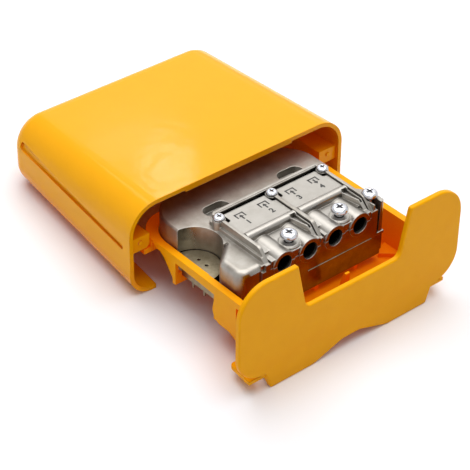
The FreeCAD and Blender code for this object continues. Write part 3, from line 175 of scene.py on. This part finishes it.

# From a finely eroded mould: satin, so it shows no clear reflections. Its corners get a stronger, redder
# painted shade and a stronger painted glow than the hood's.
# The grain is drawn coarser than the real one here too.
trayPlastic = {
    "colour": "#F6AC06", "deep": "#F0A404", "roughness": 0.34, "shine": 0.07,
    "paintedShadeColour": "#C42A00", "paintedShadeShare": 0.7, "paintedGlow": 0.17, "paintedGlowColour": "#FF5A00",
    "rippleMm": 6.0, "ripple": 0.04, "grainMm": 0.25, "grain": 0.12, "edgeMm": 0.4,
}
trayMaterial = mouldedAbs("satinMouldedAbs", trayPlastic)
print("plastics made")

# The insides of the four cable bores are painted dark, as painted shade. An open clamp lets the light in
# again, and there this painted shade fades out.
boreSpec = {
    "pitch": 12.5, "radius": 3.5, "height": 28.9, "mouthIn": 18.5, "end": 30.0,
    "rim": (0.15, 0.05), "fade": 0.4,  # how softly the dark starts at the wall and behind the mouth
    "reachMm": 9.0, "shut": (0.5, 0.66),
}


def boreShare(tree, place):
    parts = addNode(tree, "ShaderNodeSeparateXYZ", {}, {0: place})
    pitch, radius = boreSpec["pitch"] / 1000, boreSpec["radius"] / 1000
    across = parts.outputs["X"]
    for step in (pitch, pitch / 2):  # folds the four bores of both clamps on one another
        half = addNode(tree, "ShaderNodeMath", {"operation": "ABSOLUTE"}, {0: across})
        folded = addNode(tree, "ShaderNodeMath", {"operation": "SUBTRACT", 1: step},
                         {0: half.outputs[0]})
        across = folded.outputs[0]
    middle = fromPlate(0, 0, boreSpec["height"]).z
    height = addNode(tree, "ShaderNodeMath", {"operation": "SUBTRACT", 1: middle},
                     {0: parts.outputs["Z"]})
    offset = addNode(tree, "ShaderNodeCombineXYZ", {}, {"X": across, "Y": height.outputs[0]})
    away = addNode(tree, "ShaderNodeVectorMath", {"operation": "LENGTH"}, {0: offset.outputs[0]})
    outer, inner = (radius + k / 1000 for k in boreSpec["rim"])
    inside = addNode(tree, "ShaderNodeMapRange", {"From Min": outer, "From Max": inner},
                     {"Value": away.outputs["Value"]})
    near, far = (fromPlate(0, boreSpec[k], 0).y for k in ("mouthIn", "end"))
    past = addNode(tree, "ShaderNodeMapRange",
                   {"From Min": near, "From Max": near + boreSpec["fade"] / 1000},
                   {"Value": parts.outputs["Y"]})
    before = addNode(tree, "ShaderNodeMath", {"operation": "LESS_THAN", 1: far},
                     {0: parts.outputs["Y"]})
    share = inside.outputs[0]
    for other in (past.outputs[0], before.outputs[0],
                  recessShare(tree, boreSpec["reachMm"], boreSpec["shut"])):
        share = addNode(tree, "ShaderNodeMath", {"operation": "MULTIPLY"},
                        {0: share, 1: other}).outputs[0]
    return share


# What all the metals share. The faces that look to the cables are ironed: the die's slide or the press
# drew past them, which leaves them smoother.
# Their colour is also darkened, as painted shade, and so is the colour in hollows.
metalCommon = {
    "cloudSpread": (0.3, 0.7),  # the part of the noise that runs from one tint to the other
    "glossSpread": (0.8, 1.25), "grainHigh": 0.1,
    "frontFacing": (-0.6, -0.95),  # how squarely such a face looks to the front
    "hollow": (0.05, 0.45), "hollowPower": 2.0, "paintedShadeTint": "#1E1814",
    "paintedBoreTint": "#050404", "paintedBoreShade": 0.95,
}


def metalFinish(name, spec):
    material, tree, shader = newMaterial(name)
    sites = addNode(tree, "ShaderNodeTexCoord")
    place = sites.outputs["Object"]
    cloud = addNode(tree, "ShaderNodeTexNoise",
                    {"Scale": 1000 / spec["cloudMm"], "Detail": 4.0, "Roughness": 0.6},
                    {"Vector": place})
    grain = addNode(tree, "ShaderNodeTexNoise", {"Scale": 1000 / spec["grainMm"], "Detail": 3.0},
                    {"Vector": place})
    low, high = metalCommon["cloudSpread"]
    spread = addNode(tree, "ShaderNodeMapRange", {"From Min": low, "From Max": high},
                     {"Value": cloud.outputs[0]})
    tint = addNode(tree, "ShaderNodeMix", {"data_type": "RGBA", 6: spec["deep"], 7: spec["colour"]},
                   {"Factor": spread.outputs[0]})
    least, most = (spec["roughness"] * k for k in metalCommon["glossSpread"])
    gloss = addNode(tree, "ShaderNodeMapRange", {"To Min": least, "To Max": most},
                    {"Value": grain.outputs[0]})
    facing = addNode(tree, "ShaderNodeSeparateXYZ", {}, {0: sites.outputs["Normal"]})
    low, high = metalCommon["frontFacing"]
    front = addNode(tree, "ShaderNodeMapRange", {"From Min": low, "From Max": high},
                    {"Value": facing.outputs["Y"]})
    ironed = addNode(tree, "ShaderNodeMapRange", {"To Min": 1.0, "To Max": spec["ironed"]},
                     {"Value": front.outputs[0]})
    gloss = addNode(tree, "ShaderNodeMath", {"operation": "MULTIPLY"},
                    {0: gloss.outputs[0], 1: ironed.outputs[0]})
    rounded = addNode(tree, "ShaderNodeBevel", {"samples": softSamples, "Radius": spec["edgeMm"] / 1000})
    bump = addNode(tree, "ShaderNodeBump",
                   {"Strength": spec["grain"], "Distance": metalCommon["grainHigh"] / 1000},
                   {"Height": grain.outputs[0], "Normal": rounded.outputs[0]})
    # Painted shade: the colour in hollows and on the faces that look to the front is darkened towards a
    # dark tint.
    hollow = recessShare(tree, spec["reachMm"], metalCommon["hollow"])
    colour = shaded(tree, tint.outputs[2], metalCommon["paintedShadeTint"], hollow, spec["paintedHollowShade"],
                    metalCommon["hollowPower"])
    colour = shaded(tree, colour, metalCommon["paintedShadeTint"], front.outputs[0], spec["paintedFrontShade"])
    if spec.get("bores"):
        colour = shaded(tree, colour, metalCommon["paintedBoreTint"], boreShare(tree, place),
                        metalCommon["paintedBoreShade"])
    linkTo(tree, colour, shader, "Base Color")
    linkTo(tree, gloss.outputs[0], shader, "Roughness")
    linkTo(tree, bump.outputs[0], shader, "Normal")
    shader.inputs["Metallic"].default_value = 1.0
    return material


# Zinc alloy, die cast and tumbled: warm grey and satin, with cloudy flow marks from the cold die.
# The tumbled grain is too fine to show, so it is drawn coarser.
dieCastZinc = {
    "colour": "#A29E98", "deep": "#98948D", "roughness": 0.36, "cloudMm": 7.0, "grainMm": 0.18,
    "grain": 0.10, "edgeMm": 0.5, "reachMm": 9.0, "paintedHollowShade": 0.95, "ironed": 0.4, "paintedFrontShade": 0.3,
    "bores": True,
}
zincMaterial = metalFinish("tumbledCastZinc", dieCastZinc)

# The same alloy as it came from the die: duller, with stronger clouds and a rougher skin.
asCastZinc = {
    "colour": "#A7A39C", "deep": "#8E8880", "roughness": 0.38, "cloudMm": 7.0, "grainMm": 0.18,
    "grain": 0.14, "edgeMm": 0.5, "reachMm": 9.0, "paintedHollowShade": 0.95, "ironed": 0.4, "paintedFrontShade": 0.3,
    "bores": True,
}
bodyMaterial = metalFinish("asCastZinc", asCastZinc)

# Steel sheet, hot dipped in tin and pressed: a yellowish grey with small blooms of the tin, and
# dull where it has aged.
tinnedSheet = {
    "colour": "#A69C85", "deep": "#897E66", "roughness": 0.36, "cloudMm": 3.0, "grainMm": 0.30,
    "grain": 0.08, "edgeMm": 0.3, "reachMm": 12.0, "paintedHollowShade": 0.8, "ironed": 0.4, "paintedFrontShade": 0.35,
}
sheetMaterial = metalFinish("tinnedSheetSteel", tinnedSheet)

# Steel screws, zinc plated and blue passivated: bright, slightly cool, with sharp glints.
platedSteel = {
    "colour": "#CBCCD0", "deep": "#B3B4B9", "roughness": 0.20, "cloudMm": 1.5, "grainMm": 0.12,
    "grain": 0.05, "edgeMm": 0.3, "reachMm": 1.5, "paintedHollowShade": 0.5, "ironed": 1.0, "paintedFrontShade": 0.0,
}
screwMaterial = metalFinish("zincPlatedSteel", platedSteel)

# Brass contacts, turned and nickel plated: smooth and faintly yellow, so they catch a bright
# point in the dark of the bore.
nickelledBrass = {
    "colour": "#D9D2BE", "deep": "#C7BCA0", "roughness": 0.22, "cloudMm": 1.0, "grainMm": 0.1,
    "grain": 0.03, "edgeMm": 0.08, "reachMm": 1.0, "paintedHollowShade": 0.2, "ironed": 1.0, "paintedFrontShade": 0.0,
}
contactMaterial = metalFinish("nickelPlatedBrass", nickelledBrass)
print("metals made")

# The small parts inside, with a slight unevenness under their colour.
plainBump = {"strength": 0.1, "high": 0.1}


def plainFinish(name, spec):
    material, tree, shader = newMaterial(name)
    place = addNode(tree, "ShaderNodeTexCoord").outputs["Object"]
    speck = addNode(tree, "ShaderNodeTexNoise", {"Scale": 1000 / spec["speckMm"], "Detail": 3.0},
                    {"Vector": place})
    tint = addNode(tree, "ShaderNodeMix", {"data_type": "RGBA", 6: spec["colour"], 7: spec["deep"]},
                   {"Factor": speck.outputs[0]})
    bump = addNode(tree, "ShaderNodeBump",
                   {"Strength": plainBump["strength"], "Distance": plainBump["high"] / 1000},
                   {"Height": speck.outputs[0]})
    linkTo(tree, tint.outputs[2], shader, "Base Color")
    linkTo(tree, bump.outputs[0], shader, "Normal")
    shader.inputs["Roughness"].default_value = spec["roughness"]
    return material


# Polyamide, moulded: dark brown, with the soft sheen of the mould.
polyamide = {"colour": "#4A2A18", "deep": "#331A0E", "roughness": 0.45, "speckMm": 0.4}
insulatorMaterial = plainFinish("brownPolyamide", polyamide)

# Phenolic paper, pressed into board: tan, with darker flecks of the paper.
phenolicPaper = {"colour": "#9A7A3E", "deep": "#7E6230", "roughness": 0.5, "speckMm": 0.5}
boardMaterial = plainFinish("phenolicBoard", phenolicPaper)

# Copper wire, drawn and enamelled: reddish brown under a clear coat that shines.
enamelledCopper = {"colour": "#B4582A", "deep": "#8E3F1B", "roughness": 0.25, "speckMm": 0.3}
copperMaterial = plainFinish("enamelledCopperWire", enamelledCopper)

# Ceramic discs, dipped in resin: ochre, slightly uneven, with a soft gloss.
dippedDisc = {"colour": "#C88A3A", "deep": "#B07428", "roughness": 0.35, "speckMm": 0.6}
ceramicMaterial = plainFinish("dippedCeramic", dippedDisc)

# Ink, pad printed on the casting: brown black and dull, with a little of the grain under it.
printedInk = {"colour": "#241F1C", "deep": "#171412", "roughness": 0.55, "speckMm": 0.3}
inkMaterial = plainFinish("padPrintedInk", printedInk)
print("plain finishes made")

finishOf = {
    "hood": hoodMaterial, "tray": trayMaterial, "mixer_housing": bodyMaterial,
    "left_lid": zincMaterial, "right_lid": zincMaterial, "base_pan": sheetMaterial,
    "front_ground_leg": sheetMaterial, "rear_ground_leg": sheetMaterial,
    "shield_wall": sheetMaterial, "circuit_board": boardMaterial,
}
finishOfKind = {
    "screw": screwMaterial, "pin": screwMaterial, "contact": contactMaterial,
    "insulator": insulatorMaterial, "coil": copperMaterial, "capacitor": ceramicMaterial,
}
for name, piece in nodes.items():
    finish = finishOf.get(name)
    if finish is None:
        for word, choice in finishOfKind.items():
            if word in name:
                finish = choice
    piece.data.materials.clear()
    piece.data.materials.append(finish)
print("finishes set")

# Pan heads with a pressed cross recess. The CAD heads are chamfered, these are turned round.
screwSpec = {
    "clamp": (2.1, 1.8), "fixing": (1.6, 1.4),  # the head's height and the shank's radius
    "frame": (1.4, 1.1), "earth": (2.1, 1.6),
    "facets": 48, "threadPitch": 0.7, "seatGap": 0.03,
    "tip": 0.7, "root": 0.82,  # shares of the shank's radius
    "seat": 0.96, "flat": 0.45,  # shares of the head's radius, under it and on top
    "edge": 0.18, "rim": 0.3,  # shares of its height, where the crown starts
    "slotWidth": 0.26, "slotReach": 0.62, "slotDepth": 0.62, "slotTaper": 0.55,
}


def turned(name, profile, x, y):
    mesh = bpy.data.meshes.new(name)
    form = bmesh.new()
    points = [form.verts.new((x + r, y, z)) for r, z in profile]
    rings = [form.edges.new(pair) for pair in zip(points, points[1:])]
    bmesh.ops.spin(form, geom=points + rings, cent=(x, y, 0), axis=(0, 0, 1), angle=math.tau,
                   steps=screwSpec["facets"], use_merge=True)
    bmesh.ops.remove_doubles(form, verts=form.verts, dist=1e-7)
    bmesh.ops.recalc_face_normals(form, faces=form.faces)
    for face in form.faces:
        face.smooth = True
    form.to_mesh(mesh)
    form.free()
    return mesh


def crossCutter(x, y, radius, top, depth):
    mesh = bpy.data.meshes.new("crossCutter")
    form = bmesh.new()
    half, reach = radius * screwSpec["slotWidth"] / 2, radius * screwSpec["slotReach"]
    taper = screwSpec["slotTaper"]
    star = [(half, half), (half, reach), (-half, reach), (-half, half),
            (-reach, half), (-reach, -half), (-half, -half), (-half, -reach),
            (half, -reach), (half, -half), (reach, -half), (reach, half)]
    upper = [form.verts.new((x + u, y + v, top + depth)) for u, v in star]
    lower = [form.verts.new((x + u * taper, y + v * taper, top - depth)) for u, v in star]
    form.faces.new(upper)
    form.faces.new(lower[::-1])
    for i in range(len(star)):
        j = (i + 1) % len(star)
        form.faces.new((upper[i], lower[i], lower[j], upper[j]))
    bmesh.ops.recalc_face_normals(form, faces=form.faces)
    form.to_mesh(mesh)
    form.free()
    return bpy.data.objects.new("crossCutter", mesh)


# The screw's outline from its tip to the middle of its head, as radius and height.
def screwProfile(tip, seat, top, sense, radius, height, shank):
    pitch, root = screwSpec["threadPitch"] / 1000, shank * screwSpec["root"]
    flat, rim = screwSpec["flat"], screwSpec["rim"]
    profile = [(0, tip), (shank * screwSpec["tip"], tip)]
    for i in range(max(2, int(abs(seat - tip) / pitch) - 1)):
        z = tip + sense * pitch * (i + 0.5)
        profile += [(root, z), (shank, z + sense * pitch * 0.5)]
    profile += [(root, seat), (radius * screwSpec["seat"], seat)]
    profile.append((radius, seat + sense * height * screwSpec["edge"]))
    for degrees in range(0, 90, 10):
        a = math.radians(degrees)
        out, up = flat + (1 - flat) * math.cos(a), rim + (1 - rim) * math.sin(a)
        profile.append((radius * out, seat + sense * height * up))
    return profile + [(radius * flat, top), (0, top)]


def panHeadScrew(node, kind, body, upsideDown=False):
    low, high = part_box(node)
    x, y = (low[0] + high[0]) / 2, (low[1] + high[1]) / 2
    radius = (high[0] - low[0]) / 2
    tip, top = (high[2], low[2]) if upsideDown else (low[2], high[2])
    sense = -1 if upsideDown else 1
    height, shank = (size / 1000 for size in screwSpec[kind])
    seat = top - sense * (height - screwSpec["seatGap"] / 1000)
    mesh = turned(node + "Round", screwProfile(tip, seat, top, sense, radius, height, shank), x, y)
    piece = bpy.data.objects.new(node + "Round", mesh)
    scene.collection.objects.link(piece)
    cutter = crossCutter(x, y, radius, top, height * screwSpec["slotDepth"])
    scene.collection.objects.link(cutter)
    cut = piece.modifiers.new("recess", "BOOLEAN")
    cut.operation, cut.object, cut.solver = "DIFFERENCE", cutter, "EXACT"
    bpy.context.view_layer.update()
    finished = piece.evaluated_get(bpy.context.evaluated_depsgraph_get())
    piece.data = bpy.data.meshes.new_from_object(finished)
    piece.modifiers.clear()
    bpy.data.objects.remove(cutter)
    piece.data.materials.clear()
    piece.data.materials.append(screwMaterial)
    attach(piece, body)
    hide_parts(node)


for side in ("left", "right"):
    panHeadScrew(side + "_clamp_screw", "clamp", side + "_clamp_screw")
    panHeadScrew(side + "_fixing_screw", "fixing", "tray", True)
for side in ("left", "middle", "right"):
    panHeadScrew(side + "_frame_screw", "frame", "tray")
panHeadScrew("earth_screw", "earth", "earth_screw")
print("screws turned")


def prism(name, outline, z0, z1, material, body):
    mesh = bpy.data.meshes.new(name)
    count = len(outline)
    points = [(x, y, z) for z in (z0, z1) for x, y in outline]
    faces = [list(range(count))[::-1], list(range(count, 2 * count))]
    faces += [[k, (k + 1) % count, count + (k + 1) % count, count + k] for k in range(count)]
    mesh.from_pydata(points, [], faces)
    piece = bpy.data.objects.new(name, mesh)
    scene.collection.objects.link(piece)
    mesh.materials.append(material)
    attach(piece, body)


# The pan's top edge, drawn only over the span where it catches the light, shows as a thin bright line
# under the casting's front face.
edgeSpec = {"span": (-6.5, 25.5), "front": 17.75, "rear": 18.35, "low": 19.2, "top": 19.45}
left, right = (x / 1000 for x in edgeSpec["span"])
front, rear = (fromPlate(0, edgeSpec[k], 0).y for k in ("front", "rear"))
low, top = (fromPlate(0, 0, edgeSpec[k]).z for k in ("low", "top"))
prism("panEdge", [(left, front), (right, front), (right, rear), (left, rear)], low, top,
      sheetMaterial, "tray")

# A step inside the frame's rear bar, just behind both lids.
stepSpec = {"gap": 0.65, "end": 1.2, "drop": 0.25, "height": 1.2}
leftLidLow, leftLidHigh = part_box("left_lid")
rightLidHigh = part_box("right_lid")[1]
left, right = leftLidLow[0], rightLidHigh[0]
front, rear = (leftLidHigh[1] + stepSpec[k] / 1000 for k in ("gap", "end"))
top = leftLidHigh[2] - stepSpec["drop"] / 1000
prism("frameStep", [(left, front), (right, front), (right, rear), (left, rear)],
      top - stepSpec["height"] / 1000, top, bodyMaterial, "tray")

# The sloping floor of the pocket beside each clamp, wider at the rear than at the front.
pocketSpec = {
    "front": 24.2, "rear": 31.75, "widths": (0.95, 2.55), "wall": 0.58,
    "low": 32.9, "top": 34.3,
}
narrow, wide = (width / 1000 for width in pocketSpec["widths"])
front, rear = (fromPlate(0, pocketSpec[k], 0).y for k in ("front", "rear"))
low, top = (fromPlate(0, 0, pocketSpec[k]).z for k in ("low", "top"))
for lid, corner in (("left_lid", leftLidHigh), ("right_lid", rightLidHigh)):
    right = corner[0] - pocketSpec["wall"] / 1000
    prism(lid + "PocketFloor",
          [(right, front), (right, rear), (right - wide, rear), (right - narrow, front)],
          low, top, zincMaterial, lid)
print("trim of the castings made")

# A printed sign and a number for each of the four clamps.
signSpec = {
    "columns": (-18.0, -6.7, 6.9, 18.3), "signY": -22.3, "numberY": -26.8,
    "panelTop": 35.5, "ink": 0.03,
    "size": 4.2, "stroke": 0.6, "legs": 0.35, "arrow": 0.5, "head": 0.45, "shaft": 0.6,
    "numberSize": 3.6, "numberBold": 0.12,
}


# Flat printed patches, each given by its corners.
def flatStrokes(name, strokes, z, body):
    mesh = bpy.data.meshes.new(name)
    points, faces = [], []
    for corners in strokes:
        start = len(points)
        points += [fromMouth(x, y, z) for x, y in corners]
        faces.append(list(range(start, start + len(corners))))
    mesh.from_pydata(points, [], faces)
    piece = bpy.data.objects.new(name, mesh)
    scene.collection.objects.link(piece)
    mesh.materials.append(inkMaterial)
    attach(piece, body)


# A bracket open to the front, with an arrow that points in, or out for the last clamp.
def bracketSign(cx, cy, outward):
    h, s = signSpec["size"] / 2, signSpec["stroke"]
    left, right, front, rear = cx - h, cx + h, cy - h * signSpec["legs"], cy + h
    bracket = [
        [(left, front), (left + s, front), (left + s, rear), (left, rear)],
        [(left, rear - s), (right, rear - s), (right, rear), (left, rear)],
        [(right - s, front), (right, front), (right, rear), (right - s, rear)],
    ]
    inner, outer = cy + h * signSpec["arrow"], cy - h
    tip, tail = (outer, inner) if outward else (inner, outer)
    neck = tip + (tail - tip) * signSpec["head"]
    thin, broad = s * signSpec["shaft"], h * signSpec["arrow"]
    shaft = [(cx - thin, neck), (cx + thin, neck), (cx + thin, tail), (cx - thin, tail)]
    head = [(cx, tip), (cx - broad, neck), (cx + broad, neck)]
    return bracket + [shaft, head]


for i, x in enumerate(signSpec["columns"]):
    lid = "left_lid" if i < 2 else "right_lid"
    z = signSpec["panelTop"] + signSpec["ink"]
    flatStrokes("clampSign%d" % (i + 1), bracketSign(x, signSpec["signY"], i == 3), z, lid)
    text = bpy.data.curves.new("clampNumber%d" % (i + 1), "FONT")
    text.body = str(i + 1)
    text.size = signSpec["numberSize"] / 1000
    text.offset = signSpec["numberBold"] / 1000
    text.align_x, text.align_y = "CENTER", "CENTER"
    number = bpy.data.objects.new("clampNumber%d" % (i + 1), text)
    scene.collection.objects.link(number)
    number.location = fromMouth(x, signSpec["numberY"], z)
    text.materials.append(inkMaterial)
    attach(number, lid)
print("signs printed")

# The photograph's view. The place is from the hood's mouth, the turns are in degrees.
cameraSpec = {
    "place": (-373.07, -439.91, 431.05), "yaw": 40.14, "pitch": 36.41, "roll": 0.58,
    "lens": 139.87, "sensor": 36, "clipEndMetres": 20,
}


def turnFrom(yaw, pitch, roll):
    a, e, r = (math.radians(v) for v in (yaw, pitch, roll))
    forward = Vector((math.sin(a) * math.cos(e), math.cos(a) * math.cos(e), -math.sin(e)))
    right = Vector((math.cos(a), -math.sin(a), 0))
    up = right.cross(forward)
    turnedRight = math.cos(r) * right + math.sin(r) * up
    turnedUp = -math.sin(r) * right + math.cos(r) * up
    return Matrix((turnedRight, turnedUp, -forward)).transposed()


cameraData = bpy.data.cameras.new("photoCamera")
cameraData.lens = cameraSpec["lens"]
cameraData.sensor_width = cameraSpec["sensor"]
cameraData.sensor_fit = "HORIZONTAL"
cameraData.clip_end = cameraSpec["clipEndMetres"]
camera = bpy.data.objects.new("photoCamera", cameraData)
scene.collection.objects.link(camera)
turn = turnFrom(cameraSpec["yaw"], cameraSpec["pitch"], cameraSpec["roll"])
camera.matrix_world = Matrix.Translation(fromMouth(*cameraSpec["place"])) @ turn.to_4x4()
scene.camera = camera
print("camera set")

# Studio paper, coated and matt: no reflections, only the soft shadow. The hood's underside and the
# plate's feet stand on one plane, and the slide is tilted to it.
floorSpec = {
    "colour": "#F5F5F8", "roughness": 0.8, "size": 3000, "slope": 0.1160, "front": (-65.4, -7.75),
    "whiteFrom": (240, 520), "white": 0.3, "whiteColour": "#FFFFFF",  # far off it goes over to white
}
floorMaterial, floorTree, floorShader = newMaterial("paleFloor")
floorShader.inputs["Base Color"].default_value = hexLinear(floorSpec["colour"])
floorShader.inputs["Roughness"].default_value = floorSpec["roughness"]
floorShader.inputs["Emission Color"].default_value = hexLinear(floorSpec["whiteColour"])
floorPlace = addNode(floorTree, "ShaderNodeTexCoord").outputs["Object"]
away = addNode(floorTree, "ShaderNodeVectorMath", {"operation": "LENGTH"}, {0: floorPlace})
near, far = (reach / 1000 for reach in floorSpec["whiteFrom"])
white = addNode(floorTree, "ShaderNodeMapRange",
                {"From Min": near, "From Max": far, "To Max": floorSpec["white"]},
                {"Value": away.outputs["Value"]})
linkTo(floorTree, white.outputs[0], floorShader, "Emission Strength")
floorMesh = bpy.data.meshes.new("floor")
half = floorSpec["size"] / 2
frontY, frontZ = floorSpec["front"]
corners = []
for x, y in ((-half, -half), (half, -half), (half, half), (-half, half)):
    corners.append(fromMouth(x, y, frontZ + (y - frontY) * floorSpec["slope"]))
floorMesh.from_pydata(corners, [], [[0, 1, 2, 3]])
floorMesh.materials.append(floorMaterial)
floor = bpy.data.objects.new("floor", floorMesh)
scene.collection.objects.link(floor)
print("floor laid")

# Soft boxes round the mixer, and two small ones whose mirror images are the glints on the hood.
lampSpec = {
    "top": {"from": (80, 60, 950), "size": (1250, 1250), "power": 14.0, "colour": "#FFFFFF"},
    "back": {"from": (600, 520, 520), "size": (860, 440), "power": 0.8, "colour": "#FFFFFF"},
    "glint": {"from": (431, 619, 538), "size": (34, 30), "power": 0.034, "colour": "#FFFFFF"},
    "faintGlint": {"from": (414, 652, 514), "size": (70, 24), "power": 0.013, "colour": "#FFFFFF"},
    "fill": {"from": (-200, -800, 760), "size": (500, 500), "power": 0.6, "colour": "#FFFFFF"},
}
aim = fromMouth(0, 0, 15)  # about the middle of the mouth
for name, spec in lampSpec.items():
    lamp = bpy.data.lights.new(name + "Lamp", "AREA")
    lamp.shape = "RECTANGLE"
    lamp.size, lamp.size_y = (side / 1000 for side in spec["size"])
    lamp.energy = spec["power"]
    lamp.color = hexLinear(spec["colour"])[:3]
    holder = bpy.data.objects.new(name + "Lamp", lamp)
    scene.collection.objects.link(holder)
    place = fromMouth(*spec["from"])
    turn = (aim - place).to_track_quat("-Z", "Y").to_matrix()
    holder.matrix_world = Matrix.Translation(place) @ turn.to_4x4()

# A white studio that the camera, metal and glass see, and that lights the rest only faintly.
studioSpec = {"colour": "#FFFFFF", "seen": 1.0, "light": 0.2}
world = bpy.data.worlds.new("studio")
world.use_nodes = True
scene.world = world
worldTree = world.node_tree
worldTree.nodes.clear()
rays = addNode(worldTree, "ShaderNodeLightPath")
direct = addNode(worldTree, "ShaderNodeMath", {"operation": "MAXIMUM"},
                 {0: rays.outputs["Is Camera Ray"], 1: rays.outputs["Is Transmission Ray"]})
seen = addNode(worldTree, "ShaderNodeMath", {"operation": "MAXIMUM"},
               {0: direct.outputs[0], 1: rays.outputs["Is Glossy Ray"]})
strength = addNode(worldTree, "ShaderNodeMapRange",
                   {"To Min": studioSpec["light"], "To Max": studioSpec["seen"]},
                   {"Value": seen.outputs[0]})
sky = addNode(worldTree, "ShaderNodeBackground", {"Color": studioSpec["colour"]},
              {"Strength": strength.outputs[0]})
addNode(worldTree, "ShaderNodeOutputWorld", {}, {"Surface": sky.outputs[0]})
scene.view_settings.view_transform = "Standard"
print("lamps and studio set")

bpy.context.view_layer.update()
